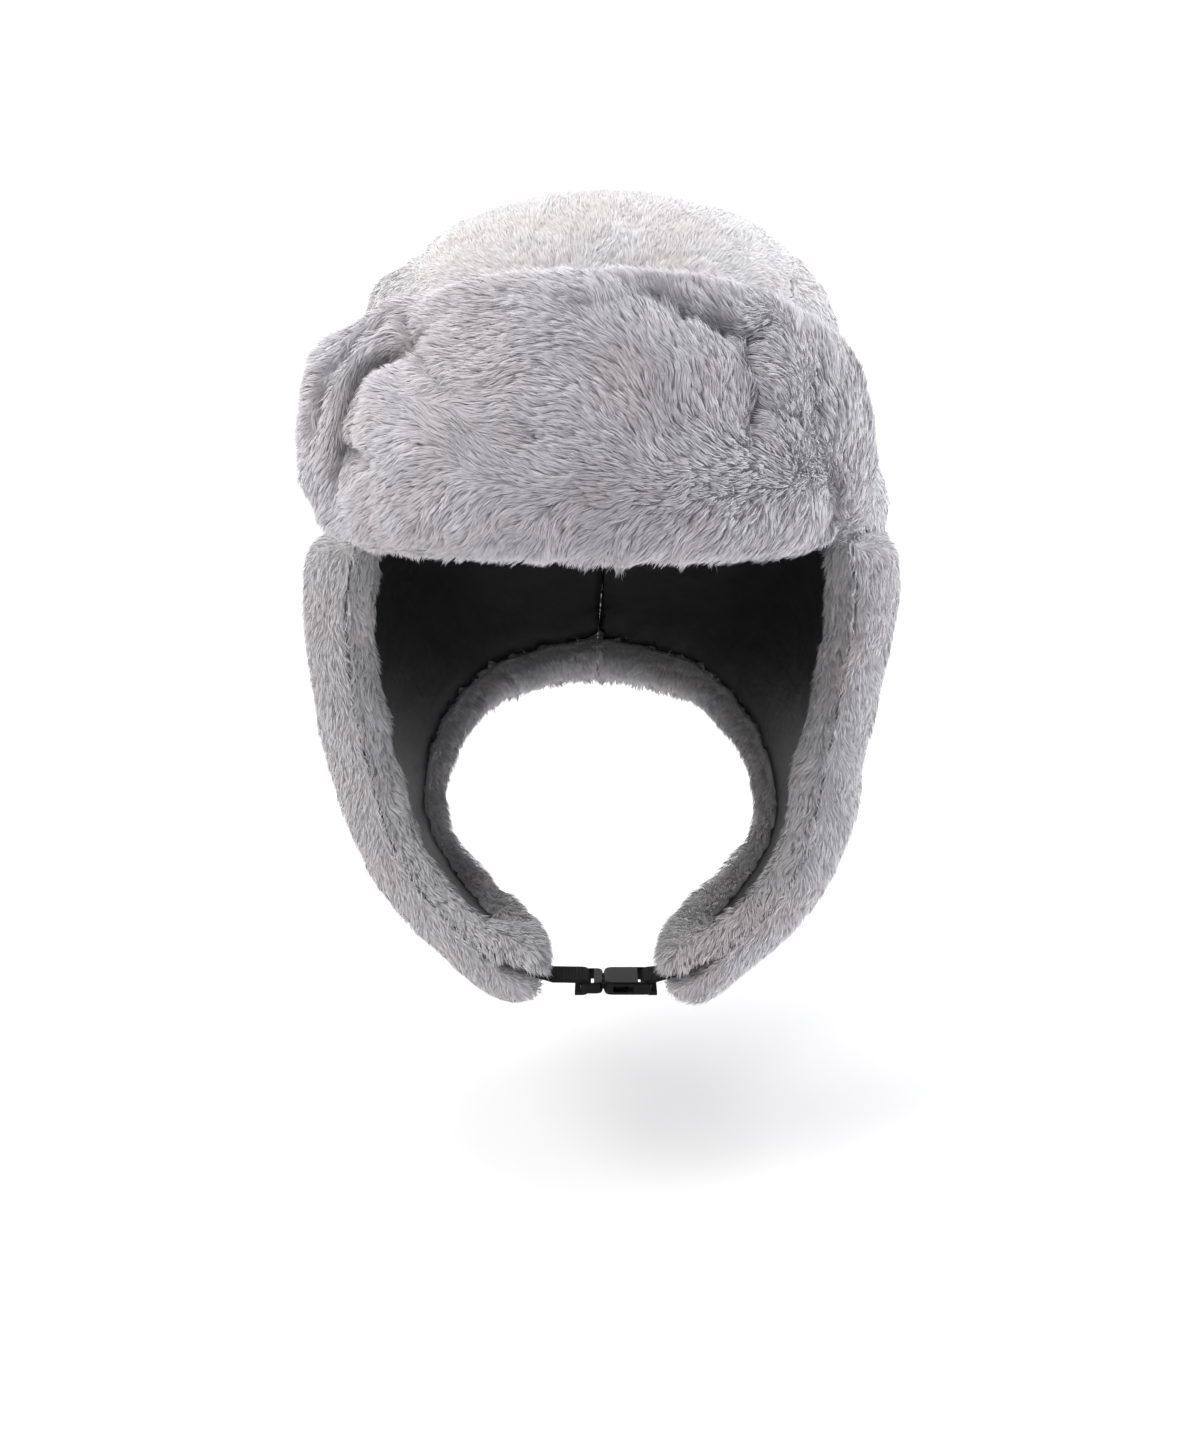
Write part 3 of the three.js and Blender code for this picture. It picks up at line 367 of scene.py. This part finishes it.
def fur_material(name, root, tip):
    """Pile that is darker at its roots, and varies from strand to strand and in wide, faint patches. The
    attribute that sets its tone also carries painted shade and a painted highlight.
    """
    material, nodes, links, shader = new_material(name)
    fill(shader, Roughness=0.8, Specular_IOR_Level=0.2, Sheen_Weight=0.7, Sheen_Roughness=0.5)
    along = nodes.new("ShaderNodeAttribute")
    along.attribute_name = "along"
    tone_and_painted_light = nodes.new("ShaderNodeAttribute")
    tone_and_painted_light.attribute_name = "tone_and_painted_light"
    ramp = nodes.new("ShaderNodeValToRGB")
    ramp.color_ramp.elements[0].color = (*root, 1)
    ramp.color_ramp.elements[1].color = (*tip, 1)
    ramp.color_ramp.elements[1].position = 0.8
    place = nodes.new("ShaderNodeTexCoord")
    patches = nodes.new("ShaderNodeTexNoise")
    fill(patches, Scale=38, Detail=2)
    spread = nodes.new("ShaderNodeMapRange")
    fill(spread, From_Min=0.45, From_Max=0.7)
    tint = nodes.new("ShaderNodeMixRGB")
    tint.blend_type = "MULTIPLY"
    fill(tint, Color2=(1, 0.955, 0.94, 1))
    vary = nodes.new("ShaderNodeHueSaturation")
    links.new(along.outputs["Fac"], ramp.inputs["Fac"])
    links.new(place.outputs["Object"], patches.inputs["Vector"])
    links.new(patches.outputs["Fac"], spread.inputs["Value"])
    links.new(spread.outputs["Result"], tint.inputs["Fac"])
    links.new(ramp.outputs["Color"], tint.inputs["Color1"])
    links.new(tint.outputs["Color"], vary.inputs["Color"])
    links.new(tone_and_painted_light.outputs["Fac"], vary.inputs["Value"])
    links.new(vary.outputs["Color"], shader.inputs["Base Color"])
    return material


def lining_material():
    """Black satin: a fine weave, soft creases and a low sheen."""
    material, nodes, links, shader = new_material("black_lining")
    fill(shader, Base_Color=(0.009, 0.009, 0.0105, 1), Roughness=0.5, Specular_IOR_Level=0.35)
    place = nodes.new("ShaderNodeTexCoord")
    weave = nodes.new("ShaderNodeTexWave")
    fill(weave, Scale=900, Distortion=1.5)
    creases = nodes.new("ShaderNodeTexNoise")
    fill(creases, Scale=60, Detail=3)
    fine = nodes.new("ShaderNodeBump")
    fill(fine, Distance=0.1 * MM, Strength=0.5)
    soft = nodes.new("ShaderNodeBump")
    fill(soft, Distance=2 * MM, Strength=0.6)
    links.new(place.outputs["Object"], weave.inputs["Vector"])
    links.new(place.outputs["Object"], creases.inputs["Vector"])
    links.new(weave.outputs["Fac"], fine.inputs["Height"])
    links.new(creases.outputs["Fac"], soft.inputs["Height"])
    links.new(fine.outputs["Normal"], soft.inputs["Normal"])
    links.new(soft.outputs["Normal"], shader.inputs["Normal"])
    return material


def webbing_material():
    """Black webbing with ribs across it."""
    material, nodes, links, shader = new_material("black_webbing")
    fill(shader, Roughness=0.8, Specular_IOR_Level=0.2)
    place = nodes.new("ShaderNodeTexCoord")
    ribs = nodes.new("ShaderNodeTexWave")
    ribs.bands_direction = "X"
    fill(ribs, Scale=260)
    yarn = nodes.new("ShaderNodeTexWave")
    yarn.bands_direction = "Y"
    fill(yarn, Scale=330)
    both = nodes.new("ShaderNodeMath")
    both.operation = "MULTIPLY"
    for wave, socket in ((ribs, 0), (yarn, 1)):
        links.new(place.outputs["Object"], wave.inputs["Vector"])
        links.new(wave.outputs["Fac"], both.inputs[socket])
    ramp = nodes.new("ShaderNodeValToRGB")
    ramp.color_ramp.elements[0].color = (0.003, 0.003, 0.004, 1)
    ramp.color_ramp.elements[1].color = (0.014, 0.014, 0.016, 1)
    bump = nodes.new("ShaderNodeBump")
    fill(bump, Distance=0.4 * MM)
    links.new(both.outputs[0], ramp.inputs["Fac"])
    links.new(both.outputs[0], bump.inputs["Height"])
    links.new(ramp.outputs["Color"], shader.inputs["Base Color"])
    links.new(bump.outputs["Normal"], shader.inputs["Normal"])
    return material


def plastic_material():
    """Black moulded plastic with a fine grain."""
    material, nodes, links, shader = new_material("black_plastic")
    fill(shader, Base_Color=(0.004, 0.004, 0.0045, 1), Specular_IOR_Level=0.12)
    place = nodes.new("ShaderNodeTexCoord")
    grain = nodes.new("ShaderNodeTexNoise")
    fill(grain, Scale=1500)
    spread = nodes.new("ShaderNodeMapRange")
    fill(spread, To_Min=0.3, To_Max=0.5)
    bump = nodes.new("ShaderNodeBump")
    fill(bump, Distance=0.05 * MM, Strength=0.4)
    links.new(place.outputs["Object"], grain.inputs["Vector"])
    links.new(grain.outputs["Fac"], spread.inputs["Value"])
    links.new(spread.outputs["Result"], shader.inputs["Roughness"])
    links.new(grain.outputs["Fac"], bump.inputs["Height"])
    links.new(bump.outputs["Normal"], shader.inputs["Normal"])
    return material


# ---- How the pile lies and the visor is creased ---------------------------------------------------


def visor_place(points):
    """(distance across, height) of points of the visor, in millimetres."""
    return np.stack([VISOR_RADIUS * np.arctan2(points[:, 0], -points[:, 1]), points[:, 2] / MM], 1)


def visor_lay(points):
    place = visor_place(points)
    turned = np.zeros((len(points), 2))
    for angle, height, turn in VISOR_LAY:
        apart = place - np.array([VISOR_RADIUS * math.radians(angle), height])
        weight = ((apart**2).sum(1) + LAY_BLUR**2) ** -LAY_FALLOFF
        turned += weight[:, None] * np.array([math.cos(math.radians(turn)), math.sin(math.radians(turn))])
    turned = unit(turned)
    sideways = unit(np.stack([-points[:, 1], points[:, 0], np.zeros(len(points))], 1))
    return turned[:, :1] * sideways + turned[:, 1:] * np.array([0, 0, 1])


def drawn(place, lines):
    """Height of lines drawn on the visor: rounded ridges with the amount and half width of their rows."""
    field = np.zeros(len(place))
    for rows in lines.values():
        rows = np.array([(VISOR_RADIUS * math.radians(row[0]), *row[1:]) for row in rows], float)
        near = np.full(len(place), np.inf)
        height = np.zeros(len(place))
        for start, end in zip(rows, rows[1:]):
            step = (end - start)[:2]
            offset = place - start[:2]
            t = np.clip(offset @ step / (step @ step), 0, 1)
            amount, half_width = (start[k] + t * (end[k] - start[k]) for k in (2, 3))
            apart = np.linalg.norm(offset - t[:, None] * step, axis=1)
            height = np.where(apart < near, amount * np.exp(-((apart / half_width) ** 2)), height)
            near = np.minimum(apart, near)
        field = np.maximum(field, height)
    return field


def visor_relief(points):
    """Depth of the creases of the visor's face."""
    place = visor_place(points)
    crumpled = smoothstep(place[:, 0], *CRUMPLED)
    wander = np.stack([waves(points, WANDER_SIZE, seed) for seed in WANDER_SEEDS], 1)
    uneven = 1 + UNEVEN_SHARE * waves(points, UNEVEN_SIZE, UNEVEN_SEED) * crumpled
    uneven = np.clip(uneven, *UNEVEN_LIMITS)
    return drawn(place + crumpled[:, None] * wander, VISOR_CREASES) * uneven * MM


def visor_smooth(points):
    """How far the pile of the visor's face is brushed smooth, from 0 to 1."""
    return drawn(visor_place(points), VISOR_SMOOTH)


def nothing(points):
    return np.zeros(len(points))


def lay_along(x, y, z):
    """Pile that lies the same way everywhere."""
    return lambda points: np.tile(unit(np.array([x, y, z], float)), (len(points), 1))


def flap_lay(sign):
    """Pile that lies downwards, and turns in towards the chin at the bottom of the flap."""
    def lay(points):
        inwards = -0.5 * sign * smoothstep(-points[:, 2], 90 * MM, 160 * MM)
        return unit(np.stack([inwards, np.full(len(points), 0.1), np.full(len(points), -1.0)], 1))
    return lay


def visor_back_lay(points):
    """Pile that lies backwards, and turns outwards at the ends of the visor."""
    outwards = np.sign(points[:, 0]) * smoothstep(abs(points[:, 0]), 50 * MM, 90 * MM)
    return unit(np.stack([outwards, np.full(len(points), 0.35), np.full(len(points), 0.2)], 1))


# ---- The cloth ------------------------------------------------------------------------------------


def even_mesh(node, cell):
    """The shape of a CAD node as an even mesh of small triangles."""
    work = bpy.data.objects.new("work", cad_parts[node].data.copy())
    bpy.context.scene.collection.objects.link(work)
    remesh = work.modifiers.new("even", "REMESH")
    remesh.mode = "VOXEL"
    remesh.voxel_size = cell
    bpy.context.view_layer.update()
    shape = work.evaluated_get(bpy.context.evaluated_depsgraph_get()).to_mesh()
    points = points_of(shape)
    triangles = triangles_of(shape)
    bpy.data.objects.remove(work)
    return points, triangles


def soft_shape(node, cell, neighbours, rounds):
    """An even, smooth copy of a CAD node that closes up to its neighbours along their seams, with the gap
    from each of its points to them in millimetres."""
    points, triangles = even_mesh(node, cell)
    seam, gap = gap_to(points, neighbours)
    free = smoothstep(gap, *SMOOTHED)[:, None]
    share = SMOOTHING_AT_SEAM + (1 - SMOOTHING_AT_SEAM) * free
    for _ in range(rounds):
        points += share * (neighbour_means(points, triangles) - points)
    points += CLOSING * (1 - smoothstep(gap, *CLOSED))[:, None] * (seam - points)
    if "_left" in node or "_right" in node:
        past = PAST_MIDDLE * MM * (1 - smoothstep(abs(points[:, 0]) / MM, *MIDDLE_PASSED))
        points[:, 0] -= np.sign(points[:, 0]) * past
    return points, triangles, gap


def closed_round(points, strap, other):
    """Points of a flap's tip drawn against its other half around the strap that is sewn in between."""
    near = 1 - smoothstep(gap_to(points, [strap])[1], *STRAP_NEAR)
    place, gap = gap_to(points, [other])
    share = TIP_CLOSING * near * (1 - smoothstep(gap, *TIP_CLOSED))
    return points + share[:, None] * (place - points)


def depth_below(points, normals, triangles):
    """How thick the shape is under each of its points, measured from just inside it."""
    tree = BVHTree.FromPolygons(points.tolist(), triangles.tolist())
    inside = points - JUST_INSIDE * normals
    hits = [tree.ray_cast(Vector(p), Vector(-n)) for p, n in zip(inside, normals)]
    return np.array([hit[3] if hit[3] is not None else 0.0 for hit in hits])


def sunk(points, triangles, gap, pile, seed):
    """The cloth that carries the pile: lowered under its tips and softly uneven."""
    normals = normals_of(points, triangles)
    deepest = SINK_LIMIT * depth_below(points, normals, triangles)
    sink = np.minimum(pile["sink"] * MM, deepest) * smoothstep(gap, *SUNK)
    lumps = WIDE_LUMPS["share"] * waves(points, WIDE_LUMPS["size"], seed)
    lumps += FINE_LUMPS["share"] * waves(points, FINE_LUMPS["size"], seed + 1)
    sink += pile["lump"] * MM * lumps * smoothstep(gap, *LUMPY)
    for _ in range(SINK_ROUNDS):
        sink = neighbour_means(sink, triangles)
    return points - normals * sink[:, None]


def creased(points, up, relief, free):
    """Points pressed in along the creases, their new normals, and how deep each lies, from 0 to 1."""
    depth = relief(points) * free
    nearly_upright = np.array([0.013, 0.02, 1.0])  # tilted a little, so that no normal lies along it
    across = unit(np.cross(up, nearly_upright))
    along = np.cross(up, across)
    tilted = up.copy()
    for way in (across, along):
        rise = relief(points + CREASE_STEP * way) - relief(points - CREASE_STEP * way)
        tilted += (rise / (2 * CREASE_STEP) * free)[:, None] * way
    return points - up * depth[:, None], unit(tilted), np.clip(depth / FULL_CREASE, 0, 1)


# ---- The strands ----------------------------------------------------------------------------------


def planted(triangles, areas, strands, rng):
    """The triangle and the weights of its corners for roots spread evenly over the areas."""
    count = np.floor(areas * strands / areas.sum() + rng.random(len(areas))).astype(int)
    owner = np.repeat(np.arange(len(areas)), count)
    return triangles[owner], rng.dirichlet((1, 1, 1), len(owner))[:, :, None]


def combed(lay_of, roots, up, flat, pile, seed, rng):
    """Direction of each strand along the cloth: the lie of its place, wandering a little."""
    lay = lay_of(roots)
    lay = unit(lay - up * (lay * up).sum(1)[:, None])
    turn = waves(roots, WIDE_SWIRL, seed) + FINE_SWIRL_SHARE * waves(roots, FINE_SWIRL, seed + 1)
    turn += SWIRL_SPREAD * rng.normal(size=len(roots))
    turn = (pile["swirl"] * turn * (1 - SMOOTH_SWIRL_LOSS * flat))[:, None]
    return unit(lay * np.cos(turn) + np.cross(up, lay) * np.sin(turn))


def leaning_over(lay, roots, up, names, amount, reach):
    """The lie of the pile, turned towards other pieces close to them."""
    place, gap = gap_to(roots, names)
    over = unit(place - roots)
    over -= up * (over * up).sum(1)[:, None]
    return unit(lay + amount * (1 - smoothstep(gap, LEANING_FROM, reach))[:, None] * over)


def curved(roots, up, lay, flat, crease, pile, seed, rng):
    """The bend and the tip of each strand, which rises from the cloth and lies down along the pile."""
    n = len(roots)
    length = 1 + LENGTH_SPREAD * rng.normal(size=n) + LENGTH_WAVE * waves(roots, LENGTH_WAVE_SIZE, seed)
    length = pile["length"] * MM * np.clip(length, *LENGTH_LIMITS)
    length = (length * (1 - CREASE_LENGTH_LOSS * crease))[:, None]
    wander = LIFT_SPREAD * rng.normal(size=n) + LIFT_WAVE * waves(roots, LIFT_WAVE_SIZE, seed + 1)
    share = 1 - SMOOTH_LIFT_LOSS * flat
    lower, upper = ((math.radians(lift) * share + wander)[:, None] for lift in pile["lift"])
    bend = roots + LOWER_SHARE * length * (lay * np.cos(lower) + up * np.sin(lower))
    return bend, bend + UPPER_SHARE * length * (lay * np.cos(upper) + up * np.sin(upper))


def strands_of(roots, up, lay, flat, crease, tuft_count, pile, seed, rng):
    """Points, normals, root-to-tip shares and tones of strands: four points each, a kite with a bend. The
    tones hold painted shade in creases and a painted highlight where the pile is smooth.
    """
    n = len(roots)
    bend, tip = curved(roots, up, lay, flat, crease, pile, seed, rng)
    tufts = rng.choice(n, tuft_count, replace=False)
    tuft = nearest_tuft(roots[tufts], roots)
    lean = (pile["lean"] * rng.uniform(*LEAN_LIMITS, n) * (1 - SMOOTH_LEAN_LOSS * flat))[:, None]
    bend += BEND_LEAN * lean * (bend[tufts][tuft] - bend)
    tip += lean * (tip[tufts][tuft] - tip)
    across = unit(np.cross(tip - roots, up))
    facing = unit(np.cross(across, tip - roots))
    roll = ROLL_SPREAD * rng.normal(size=n)[:, None]
    across = across * np.cos(roll) + facing * np.sin(roll)
    half = 0.5 * pile["width"] * MM * rng.uniform(*WIDTH_LIMITS, n)[:, None]
    points = np.stack([roots - ROOT_DEPTH * up, bend + across * half, bend - across * half, tip], 1)
    from_tuft = (roots - roots[tufts][tuft]) / (0.5 * pile["tuft"] * MM)
    shade = up + from_tuft * (BULGE - SMOOTH_BULGE_LOSS * flat)[:, None]
    shade += SHADE_SPREAD * rng.normal(size=(n, 3))
    root_normal = unit(ROOT_UPRIGHT * shade - ROOT_LEAN_BACK * lay)
    tip_normal = unit(shade - TIP_LEAN_BACK * lay)
    normals = np.stack([root_normal, root_normal, root_normal, tip_normal], 1)
    tuft_tone = 1 + TUFT_TONE_SPREAD * rng.normal(size=tuft_count)
    tone_and_painted_light = tuft_tone[tuft] + TONE_SPREAD * rng.normal(size=n)
    # painted highlight where the pile is smooth, painted shade at the bottom of a crease
    tone_and_painted_light *= 1 + SMOOTH_TONE_AND_HIGHLIGHT_GAIN * flat - CREASE_PAINTED_SHADE * crease
    along = np.tile([0.0, 0.5, 0.5, 1.0], n)
    return points.reshape(-1, 3), normals.reshape(-1, 3), along, np.repeat(tone_and_painted_light, 4)


def fur_piece(node, kind, strands, material, lay_of, seed, sewn_to, hidden_by=(), relief=nothing,
              smooth=nothing, strap=None):
    """The fur of one CAD node: its cloth, with pile wherever it is neither sewn in nor covered. Around a
    strap the cloth closes up to the first piece that it is sewn to. Each field of waves has its own seed,
    counted on from the seed of the piece."""
    pile = PILES[kind]
    rng = np.random.default_rng(seed)
    shape, triangles, gap = soft_shape(node, pile["cell"] * MM, sewn_to, FUR_ROUNDS)
    cloth = sunk(shape, triangles, gap, pile, seed + 1)
    if strap:
        cloth = closed_round(cloth, strap, sewn_to[0])
    normals = normals_of(cloth, triangles)
    bare = gap > SEWN_IN
    if hidden_by:
        bare &= gap_to(shape, hidden_by)[1] > HIDDEN
    two_corners_bare = bare[triangles].sum(1) > 1
    areas = areas_of(cloth, triangles) * two_corners_bare
    corners, weights = planted(triangles, areas, strands, rng)
    roots, up = ((values[corners] * weights).sum(1) for values in (cloth, normals))
    free = smoothstep((gap[corners] * weights[:, :, 0]).sum(1), *CREASED)
    roots, up, crease = creased(roots, unit(up), relief, free)
    flat = smooth(roots)
    lay = combed(lay_of, roots, up, flat, pile, seed + 3, rng)
    lay = leaning_over(lay, roots, up, sewn_to, **LEANING_OVER_SEAM)
    if strap:
        lay = leaning_over(lay, roots, up, [strap], **LEANING_OVER_STRAP)
    tuft_count = max(1, int(areas.sum() / (pile["tuft"] * MM) ** 2))
    points, strand_normals, along, tone_and_painted_light = strands_of(
        roots, up, lay, flat, crease, tuft_count, pile, seed + 5, rng)
    cloth, normals, crease = creased(cloth, normals, relief, smoothstep(gap, *CREASED))
    first = len(cloth) + 4 * np.arange(len(roots))[:, None]
    piece = object_from(
        node.replace("panel", "fur") if "panel" in node else f"{node}_fur",
        np.concatenate([cloth, points]),
        [triangles, first + np.array([[0, 1, 2]]), first + np.array([[2, 1, 3]])],
        material,
        np.concatenate([normals, strand_normals]),
        {
            "along": np.concatenate([np.full(len(cloth), CLOTH_ALONG), along]),
            # the cloth is painted darker between strands and darker still in creases, as painted shade
            "tone_and_painted_light": np.concatenate([CLOTH_PAINTED_SHADE - CREASE_CLOTH_PAINTED_SHADE * crease, tone_and_painted_light]),
        },
    )
    finished(piece, node)


# ---- The hat --------------------------------------------------------------------------------------


def add_crown():
    # Crown, visor, ear flaps and facings are one grey fur; their colours differ as painted light and shade.
    # The crown is painted lightest, as painted light from above.
    material = fur_material("crown_fur", (0.52, 0.51, 0.515), (0.625, 0.613, 0.62))
    backwards = lay_along(0, 0.9, -0.2)
    downwards = lay_along(0, 0.35, -1)
    panels = zip(CROWN_PANELS, (56_000, 32_000, 32_000), (backwards, downwards, downwards), (100, 200, 300))
    for node, strands, lay, seed in panels:
        fur_piece(
            node, "crown", strands, material, lay, seed,
            sewn_to=[name for name in CROWN_PANELS if name != node]
            + ["ear_flap_left", "ear_flap_right", "crown_lining"],
            hidden_by=["visor_back", "crown_lining"],
        )


def add_visor():
    # The visor's fur is painted lighter than the ear flaps', as painted light.
    material = fur_material("visor_fur", (0.39, 0.382, 0.398), (0.575, 0.563, 0.587))
    fur_piece(
        "visor_face", "visor", 83_000, material, visor_lay, 400,
        sewn_to=["visor_back"],
        relief=visor_relief,
        smooth=visor_smooth,
    )
    fur_piece(
        "visor_back", "back", 16_000, material, visor_back_lay, 500,
        sewn_to=["visor_face"],
        hidden_by=CROWN_PANELS,
    )


def add_flaps():
    # The outsides of the flaps are painted darker and their facings lighter, as painted shade and painted
    # light.
    outside = fur_material("flap_fur", (0.34, 0.335, 0.345), (0.49, 0.48, 0.496))
    inside = fur_material("facing_fur", (0.38, 0.372, 0.38), (0.58, 0.57, 0.582))
    for side, other, sign, seed in (("left", "right", 1, 600), ("right", "left", -1, 700)):
        flap = f"ear_flap_{side}"
        facing = f"ear_facing_{side}"
        lining = f"ear_lining_{side}"
        strap = f"chin_strap_{side}"
        fur_piece(
            flap, "flap", 46_000, outside, flap_lay(sign), seed,
            sewn_to=[facing, lining, f"ear_flap_{other}"] + CROWN_PANELS,
            strap=strap,
        )
        facing_lay = lay_along(-0.25 * sign, -0.3, -1)
        fur_piece(
            facing, "facing", 31_000, inside, facing_lay, seed + 200,
            sewn_to=[flap, lining, f"ear_facing_{other}"] + CROWN_PANELS,
            strap=strap,
        )


def add_linings():
    cell = 3.2 * MM
    rounds = 5
    material = lining_material()
    sewn = {
        "crown_lining": CROWN_PANELS,
        "ear_lining_left": ["ear_flap_left", "ear_facing_left", "ear_lining_right", "crown_lining"],
        "ear_lining_right": ["ear_flap_right", "ear_facing_right", "ear_lining_left", "crown_lining"],
    }
    for node, neighbours in sewn.items():
        points, triangles, _ = soft_shape(node, cell, neighbours, rounds)
        finished(object_from(f"{node}_cloth", points, [triangles], material), node)


def finish_hard_parts():
    webbing = webbing_material()
    plastic = plastic_material()
    materials = {
        "chin_strap_left": webbing,
        "chin_strap_right": webbing,
        "buckle_socket": plastic,
        "buckle_prongs": plastic,
    }
    for name, material in materials.items():
        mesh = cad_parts[name].data
        mesh.materials.clear()
        mesh.materials.append(material)


# ---- Stage, light and camera ----------------------------------------------------------------------


def add_stage():
    """A pale floor that curves up into a backdrop."""
    floor = -0.262
    half_width = 3.0
    front = -2.0
    back = 1.1
    rise = 2.5
    radius = 0.7
    steps = 16
    profile = [(front, 0.0)]
    for turn in np.linspace(0, math.pi / 2, steps):
        profile.append((back - radius + radius * math.sin(turn), radius - radius * math.cos(turn)))
    profile.append((back, rise))
    points = np.array([(x, y, floor + z) for x in (-half_width, half_width) for y, z in profile])
    n = len(profile)
    quads = np.array([(i, n + i, n + i + 1, i + 1) for i in range(n - 1)])
    material, _, _, shader = new_material("pale_floor")
    fill(shader, Base_Color=(0.76, 0.755, 0.75, 1), Roughness=0.9)
    object_from("floor", points, [quads], material)


def add_light(name, place, size, power, colour):
    """A round lamp that shines at the middle of the hat."""
    light = bpy.data.lights.new(name, "AREA")
    light.shape = "DISK"
    light.size = size
    light.energy = power
    light.color = colour
    lamp = bpy.data.objects.new(name, light)
    lamp.location = place
    aim = Vector((0, -0.02, -0.02)) - Vector(place)
    lamp.rotation_euler = aim.to_track_quat("-Z", "Y").to_euler()
    bpy.context.scene.collection.objects.link(lamp)


def add_lights():
    """A warm window at one side, a cool one at the other, a lamp above and pale surroundings."""
    add_light("window_left", (-0.95, -0.65, 0.95), size=0.9, power=18, colour=(1, 0.985, 0.96))
    add_light("window_right", (1.3, 0.05, 0.2), size=0.9, power=17, colour=(0.94, 0.965, 1))
    add_light("above", (0.0, -0.1, 1.4), size=1.2, power=11, colour=(1, 1, 1))
    world = bpy.data.worlds.new("studio")
    world.use_nodes = True
    fill(world.node_tree.nodes["Background"], Color=(0.95, 0.96, 1, 1), Strength=0.7)
    bpy.context.scene.world = world
    bpy.context.scene.view_settings.view_transform = "Standard"


def add_camera():
    """A camera straight in front that looks a little down."""
    looking_down = 12
    data = bpy.data.cameras.new("camera")
    data.lens = 35
    data.sensor_width = 36
    camera = bpy.data.objects.new("camera", data)
    camera.location = (-0.0015, -0.545, 0.039)
    camera.rotation_euler = (math.radians(90 - looking_down), 0, 0)
    bpy.context.scene.collection.objects.link(camera)
    bpy.context.scene.camera = camera


add_camera()
add_crown()
add_visor()
add_flaps()
add_linings()
finish_hard_parts()
add_stage()
add_lights()
